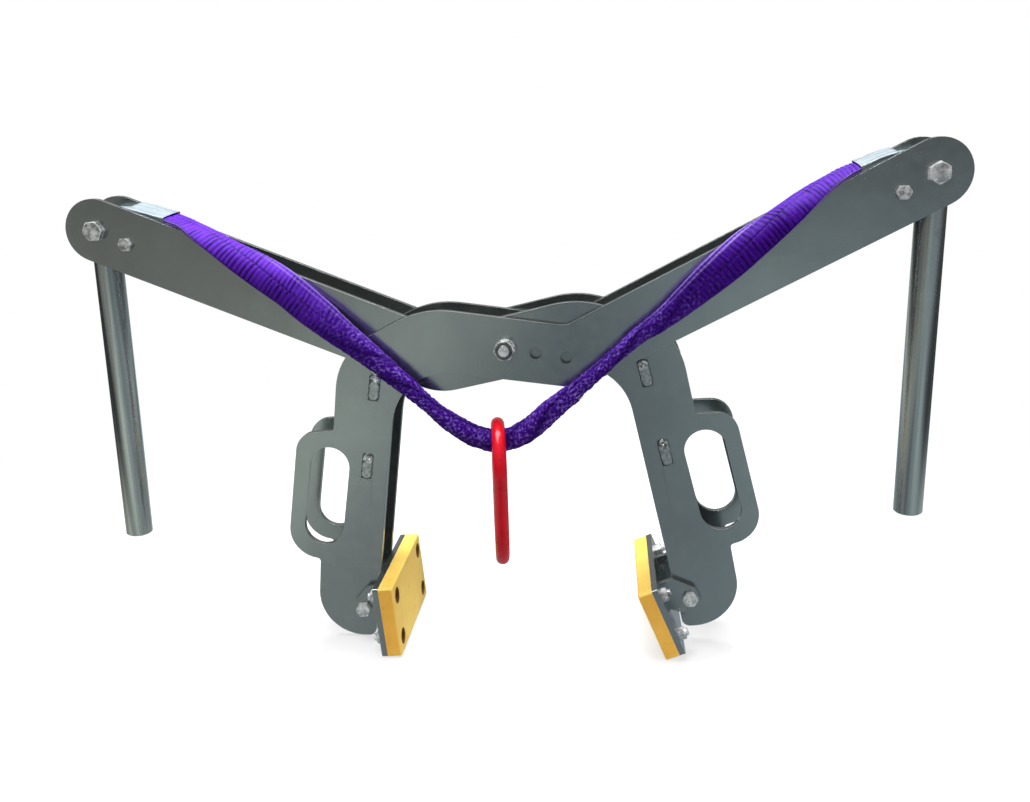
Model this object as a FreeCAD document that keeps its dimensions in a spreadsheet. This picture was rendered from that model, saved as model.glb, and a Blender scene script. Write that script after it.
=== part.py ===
import FreeCAD, Part
import Sketcher
import math
import os

# Scissor lifting tongs standing on their two pads, slack sling and master link on top.
# Lever frame: origin on the main pivot axis at the middle of the plate stack, x along the
# arm side of the right lever, y from front to rear, z up. The left lever is the right one
# turned half round about z, so every lever piece is drawn once.

V = FreeCAD.Vector
ROT = FreeCAD.Rotation
PLC = FreeCAD.Placement
doc = FreeCAD.newDocument("lifting_tongs")
sheet = doc.addObject("Spreadsheet::Sheet", "Dimensions")

CELLS = [
    # stance
    ("stand_roll", 2.488), ("pivot_height", 420.16), ("shift_x", 8.1),
    # plates
    ("plate_thick", 8.0), ("plate_clear", 0.5), ("lever_step", 66.0),
    ("arm_x", 528.7), ("arm_z", 184.3), ("arm_half", 41.0), ("arm_slope", 24.4),
    ("pivot_hole", 16.1), ("spare_hole", 17.0), ("hole_two_x", 39.2), ("hole_two_z", 8.0),
    ("hole_three_x", 78.4), ("hole_three_z", 15.9),
    ("end_hole", 16.4), ("small_x", 489.9), ("small_z", 164.0), ("small_hole", 10.4),
    ("foot_x", 227.5), ("foot_z", 362.0), ("foot_hole", 12.4),
    ("slot_half", 27.5), ("slot_reach", 44.3), ("slot_x", 262.7), ("slot_z", 194.8), ("slot_lean", 12.2),
    # leg spacers and their welds
    ("spacer_up_x", 178.3), ("spacer_up_z", 43.8), ("spacer_low_x", 200.6), ("spacer_low_z", 152.9),
    ("spacer_lean", 11.6), ("spacer_half", 20.6), ("spacer_thick", 12.0), ("tab_long", 36.0), ("tab_reach", 4.5),
    ("weld_slot_long", 37.0), ("weld_slot_wide", 15.0), ("weld_proud", 1.5),
    # main pivot
    ("pivot_dia", 16.0), ("pivot_flat", 24.0), ("pivot_head", 10.0), ("pivot_nut_tall", 14.0), ("pivot_tip", 3.0),
    ("washer_dia", 26.5), ("washer_thick", 3.0), ("bush_dia", 28.0),
    # end bolts
    ("end_dia", 16.0), ("end_flat", 24.0), ("end_head", 10.0), ("end_nut_tall", 13.0), ("end_tip", 4.0), ("right_end_turn", 30.0), ("left_end_turn", 0.0),
    ("spool_dia", 44.0), ("spool_wide", 47.0),
    ("small_dia", 10.0), ("small_flat", 16.0), ("small_head", 6.5), ("small_nut_tall", 8.0), ("small_tip", 3.0),
    ("small_tube_dia", 15.0),
    # handle tubes
    ("tube_dia", 37.0), ("tube_wall", 2.6), ("tube_drop", 444.0), ("tube_out", 7.0),
    ("left_tube_lean", -1.9), ("right_tube_lean", 0.65),
    ("ear_thick", 4.0), ("ear_half", 22.0), ("yoke_drop", 36.0), ("yoke_floor", 5.0), ("tube_top", 20.0), ("mouth_rad", 31.0),
    ("cap_tall", 5.0),
    # pads
    ("pad_deep", 186.0), ("pad_tall", 102.0), ("pad_thick", 20.0), ("pad_edge", 3.0),
    ("back_thick", 8.0), ("pad_set", 30.0), ("pad_hole_y", 72.0), ("pad_hole_z", 31.0),
    ("screw_dia", 10.0), ("screw_head_dia", 16.0), ("screw_head_tall", 6.0), ("screw_recess", 22.5), ("recess_deep", 11.0),
    ("screw_nut_flat", 16.0), ("screw_nut_tall", 8.4), ("screw_tip", 4.0),
    ("lug_thick", 8.0), ("lug_clear", 0.5), ("lug_hole", 12.15),
    ("foot_dia", 12.0), ("foot_flat", 18.5), ("foot_head", 7.5), ("foot_nut_tall", 10.0), ("foot_tip", 3.0),
    ("left_pad_lean", 4.3), ("right_pad_lean", 22.45),
    # sling and link
    ("run_dia", 18.0), ("bight_dia", 26.0), ("eye_out", 59.0), ("eye_wide", 45.0),
    ("link_wire", 18.0), ("link_long", 200.0), ("link_wide", 126.0), ("link_yaw", 8.0),
]
for i, (alias, value) in enumerate(CELLS):
    sheet.set("A%d" % (i + 1), alias)
    sheet.set("B%d" % (i + 1), str(value))
    sheet.setAlias("B%d" % (i + 1), alias)
doc.recompute()


def val(alias):
    return float(sheet.get(alias))


def cell(alias):
    return "Dimensions." + alias


NODES = []  # (label, object)
MADE = [0]


def keep(label, obj):
    obj.Label = label
    NODES.append((label, obj))
    return obj


def name(stem):
    MADE[0] += 1
    return "%s_%03d" % (stem, MADE[0])


# ---------------------------------------------------------------- outlines
def rounded(points):
    """Closed outline from (x, z, radius) corners, as lines and tangent arcs."""
    n = len(points)
    ends = []
    for i in range(n):
        p0, p1, p2 = (V(points[(i + k) % n][0], points[(i + k) % n][1], 0) for k in (-1, 0, 1))
        r = points[i][2]
        a = (p0 - p1).normalize()
        b = (p2 - p1).normalize()
        half = math.acos(max(-1, min(1, a.dot(b)))) / 2
        if r <= 0:
            ends.append((p1, p1, None))
            continue
        d = r / math.tan(half)
        bis = (a + b).normalize()
        centre = p1 + bis * (r / math.sin(half))
        ends.append((p1 + a * d, p1 + b * d, (centre, r, p1 + bis * (r / math.sin(half) - r))))
    out = []
    for i in range(n):
        s, e, arc = ends[i]
        if arc:
            out.append(Part.Arc(s, arc[2], e))
        nxt = ends[(i + 1) % n][0]
        if (nxt - e).Length > 1e-6:
            out.append(Part.LineSegment(e, nxt))
    return out


def stadium(cx, cz, half, reach, lean):
    """Slot with round ends; lean is the slot's angle from the vertical, foot towards -x."""
    e = V(-math.sin(math.radians(lean)), -math.cos(math.radians(lean)), 0)
    q = V(-e.y, e.x, 0)
    c = V(cx, cz, 0)
    a, b = c + e * reach, c - e * reach
    return [
        Part.LineSegment(b + q * half, a + q * half),
        Part.Arc(a + q * half, a + e * half, a - q * half),
        Part.LineSegment(a - q * half, b - q * half),
        Part.Arc(b - q * half, b - e * half, b + q * half),
    ]


def plane_of(body, role):
    return [f for f in body.Origin.OriginFeatures if f.Role == role][0]


def sketch_on(body, role, geometry, circles=()):
    """circles: (x cell, x sign, z cell, z sign, diameter cell); cells may be None for 0."""
    sk = body.newObject("Sketcher::SketchObject", name("outline"))
    sk.AttachmentSupport = [(plane_of(body, role), "")]
    sk.MapMode = "FlatFace"
    for g in geometry:
        sk.addGeometry(g, False)
    for xc, xs, zc, zs, dc in circles:
        x = xs * val(xc) if xc else 0.0
        z = zs * val(zc) if zc else 0.0
        i = sk.addGeometry(Part.Circle(V(x, z, 0), V(0, 0, 1), val(dc) / 2), False)
        k = sk.addConstraint(Sketcher.Constraint("Diameter", i, val(dc)))
        sk.setExpression("Constraints[%d]" % k, cell(dc))
        if xc is None and zc is None:
            sk.addConstraint(Sketcher.Constraint("Coincident", i, 3, -1, 1))
            continue
        for c, s, kind in ((xc, xs, "DistanceX"), (zc, zs, "DistanceY")):
            if c is None:
                continue
            if s > 0:
                k = sk.addConstraint(Sketcher.Constraint(kind, -1, 1, i, 3, val(c)))
            else:
                k = sk.addConstraint(Sketcher.Constraint(kind, i, 3, -1, 1, val(c)))
            sk.setExpression("Constraints[%d]" % k, cell(c))
    return sk


def padded(label, role, geometry, thick, circles=()):
    """Flat-cut piece: outline on an origin plane, thickness from a cell."""
    body = doc.addObject("PartDesign::Body", name(label))
    sk = sketch_on(body, role, geometry, circles)
    pad = body.newObject("PartDesign::Pad", name("pad"))
    pad.Profile = sk
    pad.setExpression("Length", cell(thick))
    doc.recompute()
    body.Tip = pad
    return body


# ---------------------------------------------------------------- turned and hex pieces
def cylinder(radius, height, base=V(0, 0, 0), axis=V(0, 0, 1)):
    c = doc.addObject("Part::Cylinder", name("cyl"))
    c.setExpression("Radius", radius)
    c.setExpression("Height", height)
    c.Placement = PLC(base, ROT(V(0, 0, 1), axis))
    return c


def cone(r1, r2, height, base=V(0, 0, 0)):
    c = doc.addObject("Part::Cone", name("cone"))
    c.setExpression("Radius1", r1)
    c.setExpression("Radius2", r2)
    c.setExpression("Height", height)
    c.Placement = PLC(base, ROT())
    return c


def fuse(shapes):
    f = doc.addObject("Part::MultiFuse", name("fuse"))
    f.Shapes = shapes
    f.Refine = True
    return f


def cut(base, tool):
    c = doc.addObject("Part::Cut", name("cut"))
    c.Base = base
    c.Tool = tool
    c.Refine = True
    return c


def hexagon(flat, tall, base=V(0, 0, 0)):
    """Hex prism along z with the 30 degree turned chamfer on its upper end."""
    p = doc.addObject("Part::Prism", name("hex"))
    p.Polygon = 6
    p.setExpression("Circumradius", "%s / (2 * cos(30deg))" % flat)
    p.setExpression("Height", tall)
    p.Placement = PLC(base, ROT())
    k = cone("0.475 * %s + 1.732 * %s" % (flat, tall), "0.475 * %s" % flat, tall, base)
    c = doc.addObject("Part::Common", name("hexhead"))
    c.Base = p
    c.Tool = k
    return c


def hex_bolt(label, dia, flat, head, grip, tip):
    """Bolt along +z: head below z = 0, shank from 0 to grip + tip with a chamfered end."""
    h = hexagon(flat, head)
    h.Placement = PLC(V(0, 0, 0), ROT(V(1, 0, 0), 180))
    s = cylinder("%s / 2" % dia, "%s + %s - 1" % (grip, tip))
    e = cone("%s / 2" % dia, "%s / 2 - 1" % dia, "1")
    e.setExpression("Placement.Base.z", "%s + %s - 1" % (grip, tip))
    return keep(label, fuse([h, s, e]))


def hex_nut(label, dia, flat, tall):
    """Nut along +z from z = 0, chamfered on its outer end, bored to pass its bolt."""
    h = hexagon(flat, tall)
    b = cylinder("%s / 2 + 0.05" % dia, "%s + 2" % tall, V(0, 0, -1))
    return keep(label, cut(h, b))


def ring(label, outer, inner, long):
    o = cylinder("%s / 2" % outer, long)
    i = cylinder("%s / 2" % inner, "%s + 2" % long, V(0, 0, -1))
    c = cut(o, i)
    if label:
        keep(label, c)
    return c


# ---------------------------------------------------------------- frames
ROLL = val("stand_roll")
WORLD = PLC(V(val("shift_x"), 0, val("pivot_height")), ROT(V(0, 1, 0), -ROLL))
HALF = PLC(V(0, 0, 0), ROT(V(0, 0, 1), 180))
LEVER = {"right": WORLD, "left": WORLD.multiply(HALF)}
ALONG_Y = ROT(V(1, 0, 0), -90)  # turns +z to +y
AGAINST_Y = ROT(V(1, 0, 0), 90)  # turns +z to -y


def put(obj, frame, base, rot=ROT()):
    obj.Placement = frame.multiply(PLC(base, rot))
    return obj


T = val("plate_thick")
GAP = val("plate_clear")
STEP = val("lever_step")
STACK = (STEP + 2 * T + GAP) / 2  # half of the whole plate stack
FRONT = (-STACK, -STACK + T)  # y span of the right lever's front plate
REAR = (-STACK + STEP, -STACK + STEP + T)  # and of its rear plate
MID = (FRONT[0] + REAR[1]) / 2  # middle of one lever's own plates
INSIDE = STEP - T  # clear width between one lever's plates
NEAR_SIDE = {"right": 1, "left": -1}  # which lever y points to the viewer's front: heads go there

# ---------------------------------------------------------------- lever plates
SL = math.radians(val("arm_slope"))
U = V(math.cos(SL), math.sin(SL), 0)
N = V(-math.sin(SL), math.cos(SL), 0)
A = V(val("arm_x"), val("arm_z"), 0)
H = val("arm_half")
LE = math.radians(val("slot_lean"))
SE = V(-math.sin(LE), -math.cos(LE), 0)
SQ = V(-math.cos(LE), math.sin(LE), 0)
SC = V(-val("slot_x"), -val("slot_z"), 0)
P1 = A + U * H + N * H
P2 = A + U * H - N * H
HB = SC + SE * 95.5 + SQ * 48.2
LEVER_OUTLINE = [
    (P1.x, P1.y, H - 0.2), (P2.x, P2.y, H - 0.2),
    (93.9, -58.0, 80.0), (-145.9, -16.5, 78.0),
    (-218.0, -408.5, 11.0), (-302.6, -408.5, 62.0), (-283.8, -287.5, 5.0),
    (HB.x, HB.y, 42.0), (-291.8, -101.5, 30.0), (-241.5, -101.5, 4.0),
    (-222.0, 6.0, 90.0), (-102.5, 59.2, 125.0), (79.9, 25.8, 20.0),
]
HOLES = [
    (None, 1, None, 1, "pivot_hole"),
    ("hole_two_x", 1, "hole_two_z", -1, "spare_hole"),
    ("hole_three_x", 1, "hole_three_z", -1, "spare_hole"),
    ("arm_x", 1, "arm_z", 1, "end_hole"),
    ("small_x", 1, "small_z", 1, "small_hole"),
    ("foot_x", -1, "foot_z", -1, "foot_hole"),
]


def box_outline(cx, cz, long, wide, lean, r):
    e = V(-math.sin(math.radians(lean)), -math.cos(math.radians(lean)), 0)
    q = V(-e.y, e.x, 0)
    c = V(cx, cz, 0)
    pts = [c + e * (i * long / 2) + q * (j * wide / 2) for i, j in ((-1, -1), (-1, 1), (1, 1), (1, -1))]
    return rounded([(p.x, p.y, r) for p in pts])


SPACERS = (("spacer_up_x", "spacer_up_z"), ("spacer_low_x", "spacer_low_z"))


def lever_plate(label, side, span):
    geo = rounded(LEVER_OUTLINE)
    geo += stadium(SC.x, SC.y, val("slot_half"), val("slot_reach"), val("slot_lean"))
    for xc, zc in SPACERS:
        geo += box_outline(-val(xc), -val(zc), val("weld_slot_long"), val("weld_slot_wide"), val("spacer_lean"), 1.0)
    body = keep(label, padded(label, "XZ_Plane", geo, "plate_thick", HOLES))
    # the sketch plane faces -y, so the plate lies from y = 0 down to -thickness
    put(body, LEVER[side], V(0, span[1], 0))


lever_plate("right_lever_front_plate", "right", FRONT)
lever_plate("right_lever_rear_plate", "right", REAR)
lever_plate("left_lever_front_plate", "left", REAR)
lever_plate("left_lever_rear_plate", "left", FRONT)


# ---------------------------------------------------------------- leg spacers and plug welds
def spacer_group(label, side):
    parts = []
    for xc, zc in SPACERS:
        lean = ROT(V(0, 1, 0), val("spacer_lean"))
        c = V(-val(xc), 0, -val(zc))
        b = doc.addObject("Part::Box", name("spacer"))
        b.setExpression("Length", cell("spacer_thick"))
        b.setExpression("Height", "2 * " + cell("spacer_half"))
        b.setExpression("Width", "%s - %s" % (cell("lever_step"), cell("plate_thick")))
        b.Placement = PLC(c, lean).multiply(PLC(V(-val("spacer_thick") / 2, FRONT[1], -val("spacer_half")), ROT()))
        tab = doc.addObject("Part::Box", name("tab"))
        tab.setExpression("Length", cell("spacer_thick"))
        tab.setExpression("Height", cell("tab_long"))
        tab.setExpression("Width", "%s - %s + 2 * %s" % (cell("lever_step"), cell("plate_thick"), cell("tab_reach")))
        tab.Placement = PLC(c, lean).multiply(PLC(V(-val("spacer_thick") / 2, FRONT[1] - val("tab_reach"), -val("tab_long") / 2), ROT()))
        parts.append(fuse([b, tab]))
    g = doc.addObject("Part::Compound", name("group"))
    g.Links = parts
    keep(label, g)
    put(g, LEVER[side], V(0, 0, 0))


def weld_group(label, side):
    parts = []
    tall = T - val("tab_reach") + val("weld_proud")
    for xc, zc in SPACERS:
        for y0, out in ((FRONT[0] - val("weld_proud"), 1), (REAR[1] + val("weld_proud") - tall, 1)):
            geo = box_outline(-val(xc), -val(zc), val("weld_slot_long") - 0.1, val("weld_slot_wide") - 0.1, val("spacer_lean"), 0.95)
            body = doc.addObject("PartDesign::Body", name("weld"))
            sk = sketch_on(body, "XZ_Plane", geo)
            pad = body.newObject("PartDesign::Pad", name("pad"))
            pad.Profile = sk
            pad.setExpression("Length", "%s - %s + %s" % (cell("plate_thick"), cell("tab_reach"), cell("weld_proud")))
            doc.recompute()
            body.Tip = pad
            body.Placement = PLC(V(0, y0 + tall, 0), ROT())
            parts.append(body)
    g = doc.addObject("Part::Compound", name("group"))
    g.Links = parts
    keep(label, g)
    put(g, LEVER[side], V(0, 0, 0))


for side in ("right", "left"):
    spacer_group("%s_lever_spacers" % side, side)
    weld_group("%s_lever_plug_welds" % side, side)

# ---------------------------------------------------------------- main pivot
WT = val("washer_thick")
GRIP = "2 * %s + %s + %s + 2 * %s" % (cell("plate_thick"), cell("plate_clear"), cell("lever_step"), cell("washer_thick"))
bolt = hex_bolt("main_pivot_bolt", cell("pivot_dia"), cell("pivot_flat"), cell("pivot_head"), GRIP + " + " + cell("pivot_nut_tall"), cell("pivot_tip"))
put(bolt, WORLD, V(0, STACK + WT, 0), AGAINST_Y)
nut = hex_nut("main_pivot_nut", cell("pivot_dia"), cell("pivot_flat"), cell("pivot_nut_tall"))
put(nut, WORLD, V(0, -STACK - WT, 0), AGAINST_Y)
w = []
for y in (-STACK - WT, STACK):
    r = ring(None, cell("washer_dia"), "(%s + 0.2)" % cell("pivot_dia"), cell("washer_thick"))
    r.Placement = PLC(V(0, y, 0), ALONG_Y)
    w.append(r)
g = doc.addObject("Part::Compound", name("group"))
g.Links = w
keep("main_pivot_washers", g)
put(g, WORLD, V(0, 0, 0))
BUSH = STEP - 2 * T - GAP  # clear width between the two inner plates
b = ring("main_pivot_bush", cell("bush_dia"), "(%s + 0.2)" % cell("pivot_dia"), "%s - 2 * %s - %s - 0.4" % (cell("lever_step"), cell("plate_thick"), cell("plate_clear")))
put(b, WORLD, V(0, -BUSH / 2 + 0.2, 0), ALONG_Y)

# ---------------------------------------------------------------- arm end bolts, spools, small bolts
IN = "%s - %s" % (cell("lever_step"), cell("plate_thick"))
THROUGH = "%s + %s" % (cell("lever_step"), cell("plate_thick"))
for side in ("right", "left"):
    f = LEVER[side]
    near = NEAR_SIDE[side]
    y_head = FRONT[0] if near > 0 else REAR[1]
    y_nut = REAR[1] if near > 0 else FRONT[0]
    into = ALONG_Y if near > 0 else AGAINST_Y
    ax, az = val("arm_x"), val("arm_z")
    o = hex_bolt("%s_end_bolt" % side, cell("end_dia"), cell("end_flat"), cell("end_head"), THROUGH + " + " + cell("end_nut_tall"), cell("end_tip"))
    put(o, f, V(ax, y_head, az), into.multiply(ROT(V(0, 0, 1), val("%s_end_turn" % side))))
    o = hex_nut("%s_end_nut" % side, cell("end_dia"), cell("end_flat"), cell("end_nut_tall"))
    put(o, f, V(ax, y_nut, az), into)
    o = ring("%s_sling_spool" % side, cell("spool_dia"), "(%s + 0.2)" % cell("end_dia"), cell("spool_wide"))
    put(o, f, V(ax, MID - val("spool_wide") / 2, az), ALONG_Y)
    sx, sz = val("small_x"), val("small_z")
    o = hex_bolt("%s_small_bolt" % side, cell("small_dia"), cell("small_flat"), cell("small_head"), THROUGH + " + " + cell("small_nut_tall"), cell("small_tip"))
    put(o, f, V(sx, y_head, sz), into)
    o = hex_nut("%s_small_nut" % side, cell("small_dia"), cell("small_flat"), cell("small_nut_tall"))
    put(o, f, V(sx, y_nut, sz), into)
    o = ring("%s_small_spacer" % side, cell("small_tube_dia"), "(%s + 0.2)" % cell("small_dia"), IN + " - 0.2")
    put(o, f, V(sx, MID - INSIDE / 2 + 0.1, sz), ALONG_Y)

# ---------------------------------------------------------------- handle tubes
# Tube frame: origin on the end bolt's axis at the middle of its lever, z up, x outboard.
for side in ("right", "left"):
    s = 1 if side == "right" else -1
    lean = val("%s_tube_lean" % side)
    at = LEVER[side].multVec(V(val("arm_x"), MID, val("arm_z")))
    frame = PLC(at, ROT(V(0, 1, 0), -lean))
    xo = s * val("tube_out")
    o = cylinder("%s / 2" % cell("tube_dia"), "%s - %s - 2" % (cell("tube_drop"), cell("tube_top")))
    i = cylinder("%s / 2 - %s" % (cell("tube_dia"), cell("tube_wall")), "%s - %s" % (cell("tube_drop"), cell("tube_top")), V(0, 0, -1))
    # the tube's top is notched to a saddle that clears the sling's eye
    saddle = cylinder(cell("mouth_rad"), IN, V(-xo, -INSIDE / 2, val("tube_drop") - 2), V(0, 1, 0))
    c = keep("%s_handle_tube" % side, cut(cut(o, i), saddle))
    put(c, frame, V(xo, 0, -val("tube_drop") + 2))
    # yoke: two ears and a collar plate welded round the tube, hung on the end bolt
    half = INSIDE / 2 - 0.5
    ears = []
    for y in (-half, half - val("ear_thick")):
        e1 = doc.addObject("Part::Box", name("ear"))
        e1.setExpression("Length", "2 * " + cell("ear_half"))
        e1.setExpression("Width", cell("ear_thick"))
        e1.setExpression("Height", cell("yoke_drop"))
        e1.Placement = PLC(V(-val("ear_half"), y, -val("yoke_drop")), ROT())
        e2 = cylinder(cell("ear_half"), cell("ear_thick"), V(0, y, 0), V(0, 1, 0))
        ears += [e1, e2]
    fl = doc.addObject("Part::Box", name("floor"))
    fl.setExpression("Length", "2 * " + cell("ear_half"))
    fl.setExpression("Width", "%s - 1" % IN)
    fl.setExpression("Height", cell("yoke_floor"))
    fl.Placement = PLC(V(-val("ear_half"), -half, -val("yoke_drop")), ROT())
    bore = cylinder("%s / 2 + 0.08" % cell("end_dia"), IN + " + 4", V(0, -INSIDE / 2 - 2, 0), V(0, 1, 0))
    seat = cylinder("%s / 2" % cell("tube_dia"), cell("yoke_floor") + " + 2", V(xo, 0, -val("yoke_drop") - 1))
    yk = keep("%s_tube_yoke" % side, cut(cut(fuse(ears + [fl]), bore), seat))
    put(yk, frame, V(0, 0, 0))
    # domed plug that closes the lower end
    body = doc.addObject("PartDesign::Body", name("cap"))
    rt, ri = val("tube_dia") / 2, val("tube_dia") / 2 - val("tube_wall") - 0.05
    geo = [
        Part.LineSegment(V(0, 8, 0), V(ri, 8, 0)),
        Part.LineSegment(V(ri, 8, 0), V(ri, 2, 0)),
        Part.LineSegment(V(ri, 2, 0), V(rt, 2, 0)),
        Part.LineSegment(V(rt, 2, 0), V(rt - 2.2, 0, 0)),
        Part.LineSegment(V(rt - 2.2, 0, 0), V(0, 0, 0)),
        Part.LineSegment(V(0, 0, 0), V(0, 8, 0)),
    ]
    sk = sketch_on(body, "XZ_Plane", geo)
    rev = body.newObject("PartDesign::Revolution", name("turn"))
    rev.Profile = sk
    rev.ReferenceAxis = (sk, ["V_Axis"])
    rev.Angle = 360
    doc.recompute()
    body.Tip = rev
    keep("%s_tube_cap" % side, body)
    put(body, frame, V(xo, 0, -val("tube_drop")))

# ---------------------------------------------------------------- gripping pads
# Pad frame: origin on the pad's pivot bolt, x towards the load, z up along the pad.
LUG = [(-13.5, -10.0, 2.0), (-12.0, 12.0, 3.0), (10.0, 34.0, 3.0), (29.95, 35.0, 0), (29.95, -6.0, 0), (14.0, -20.0, 3.0), (-3.0, -20.0, 3.0)]


def pad_set(name_, frame):
    half_d, half_t = val("pad_deep") / 2, val("pad_tall") / 2
    # elastomer block: outline drawn on the gripping plane, then edges rounded and bolt recesses sunk
    body = doc.addObject("PartDesign::Body", name("block"))
    rect = rounded([(-half_d, -half_t, 4.0), (half_d, -half_t, 4.0), (half_d, half_t, 4.0), (-half_d, half_t, 4.0)])
    sk = sketch_on(body, "YZ_Plane", rect, [("pad_hole_y", i, "pad_hole_z", j, "screw_recess") for i in (-1, 1) for j in (-1, 1)])
    front = body.newObject("PartDesign::Pad", name("pad"))
    front.Profile = sk
    front.setExpression("Length", cell("recess_deep"))
    doc.recompute()
    rect = rounded([(-half_d, -half_t, 4.0), (half_d, -half_t, 4.0), (half_d, half_t, 4.0), (-half_d, half_t, 4.0)])
    sk2 = sketch_on(body, "YZ_Plane", rect, [("pad_hole_y", i, "pad_hole_z", j, "spare_screw") for i in (-1, 1) for j in (-1, 1)])
    rear = body.newObject("PartDesign::Pad", name("pad"))
    rear.Profile = sk2
    rear.setExpression("Length", "%s - %s" % (cell("pad_thick"), cell("recess_deep")))
    rear.Reversed = True
    doc.recompute()
    edges = []
    for i, e in enumerate(rear.Shape.Edges):
        b = e.BoundBox
        if abs(b.XMin - val("recess_deep")) < 1e-6 and abs(b.XMax - val("recess_deep")) < 1e-6 and max(abs(b.YMin), abs(b.YMax)) > half_d - 5 and not (e.Curve.TypeId == "Part::GeomCircle" and abs(e.Curve.Radius - val("screw_recess") / 2) < 1e-6):
            edges.append("Edge%d" % (i + 1))
        elif abs(b.XMin - val("recess_deep")) < 1e-6 and abs(b.XMax - val("recess_deep")) < 1e-6 and max(abs(b.ZMin), abs(b.ZMax)) > half_t - 5 and not (e.Curve.TypeId == "Part::GeomCircle" and abs(e.Curve.Radius - val("screw_recess") / 2) < 1e-6):
            edges.append("Edge%d" % (i + 1))
    fil = body.newObject("PartDesign::Fillet", name("edge"))
    fil.Base = (rear, edges)
    fil.setExpression("Radius", cell("pad_edge"))
    doc.recompute()
    body.Tip = fil
    keep("%s_block" % name_, body)
    x_face = val("pad_set") + val("back_thick") + val("pad_thick")
    put(body, frame, V(x_face - val("recess_deep"), 0, 0))
    # steel backing plate
    rect = rounded([(-half_d, -half_t, 4.0), (half_d, -half_t, 4.0), (half_d, half_t, 4.0), (-half_d, half_t, 4.0)])
    plate = padded("back", "YZ_Plane", rect, "back_thick", [("pad_hole_y", i, "pad_hole_z", j, "spare_screw") for i in (-1, 1) for j in (-1, 1)])
    keep("%s_backing_plate" % name_, plate)
    put(plate, frame, V(val("pad_set"), 0, 0))
    # lugs outside the leg plates
    lugs = []
    for y in (INSIDE / 2 + T + val("lug_clear") + val("lug_thick"), -INSIDE / 2 - T - val("lug_clear")):
        lug = padded("lug", "XZ_Plane", rounded(LUG), "lug_thick", [(None, 1, None, 1, "lug_hole")])
        lug.Placement = PLC(V(0, y, 0), ROT())
        lugs.append(lug)
    g = doc.addObject("Part::Compound", name("group"))
    g.Links = lugs
    keep("%s_lugs" % name_, g)
    put(g, frame, V(0, 0, 0))
    # recessed screws and the nuts behind the backing plate
    screws, nuts = [], []
    x_seat = x_face - val("recess_deep")
    for i in (-1, 1):
        for j in (-1, 1):
            at = V(0, i * val("pad_hole_y"), j * val("pad_hole_z"))
            h = cylinder("%s / 2" % cell("screw_head_dia"), cell("screw_head_tall"))
            soc = doc.addObject("Part::Prism", name("socket"))
            soc.Polygon = 6
            soc.setExpression("Circumradius", "0.43 * " + cell("screw_dia"))
            soc.setExpression("Height", "0.6 * " + cell("screw_head_tall"))
            soc.setExpression("Placement.Base.z", "0.5 * " + cell("screw_head_tall"))
            hd = cut(h, soc)
            long = "%s - %s + %s + %s + %s" % (cell("pad_thick"), cell("recess_deep"), cell("back_thick"), cell("screw_nut_tall"), cell("screw_tip"))
            sk_ = cylinder("%s / 2" % cell("screw_dia"), long)
            sk_.setExpression("Placement.Base.z", "-(%s)" % long)
            one = fuse([hd, sk_])
            one.Placement = PLC(V(x_seat, at.y, at.z), ROT(V(0, 1, 0), 90))
            screws.append(one)
            hx = hexagon(cell("screw_nut_flat"), cell("screw_nut_tall"))
            bo = cylinder("%s / 2 + 0.05" % cell("screw_dia"), "%s + 2" % cell("screw_nut_tall"), V(0, 0, -1))
            nt = cut(hx, bo)
            nt.Placement = PLC(V(val("pad_set"), at.y, at.z), ROT(V(0, 1, 0), -90).multiply(ROT(V(0, 0, 1), 12 * (i + 2 * j))))
            nuts.append(nt)
    for label, parts in (("%s_screws" % name_, screws), ("%s_screw_nuts" % name_, nuts)):
        g = doc.addObject("Part::Compound", name("group"))
        g.Links = parts
        keep(label, g)
        put(g, frame, V(0, 0, 0))


sheet.set("A%d" % (len(CELLS) + 1), "spare_screw")
sheet.set("B%d" % (len(CELLS) + 1), "=screw_dia + 0.3")
sheet.setAlias("B%d" % (len(CELLS) + 1), "spare_screw")
doc.recompute()
for pad, lever, leanc in (("left_pad", "right", "left_pad_lean"), ("right_pad", "left", "right_pad_lean")):
    at = LEVER[lever].multVec(V(-val("foot_x"), MID, -val("foot_z")))
    # the left pad faces +x with its foot inward, the right pad faces -x with its foot outward
    turn = ROT(V(0, 1, 0), -val(leanc)).multiply(ROT(V(0, 0, 1), 0 if pad == "left_pad" else 180))
    pad_set(pad, PLC(at, turn))
    f = LEVER[lever]
    near = NEAR_SIDE[lever]
    out = val("lug_clear") + val("lug_thick")
    y_head = FRONT[0] - out if near > 0 else REAR[1] + out
    y_nut = REAR[1] + out if near > 0 else FRONT[0] - out
    into = ALONG_Y if near > 0 else AGAINST_Y
    grip = "%s + 2 * %s + 2 * %s" % (THROUGH, cell("lug_clear"), cell("lug_thick"))
    o = hex_bolt("%s_pivot_bolt" % pad, cell("foot_dia"), cell("foot_flat"), cell("foot_head"), grip + " + " + cell("foot_nut_tall"), cell("foot_tip"))
    put(o, f, V(-val("foot_x"), y_head, -val("foot_z")), into)
    o = hex_nut("%s_pivot_nut" % pad, cell("foot_dia"), cell("foot_flat"), cell("foot_nut_tall"))
    put(o, f, V(-val("foot_x"), y_nut, -val("foot_z")), into)

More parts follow.
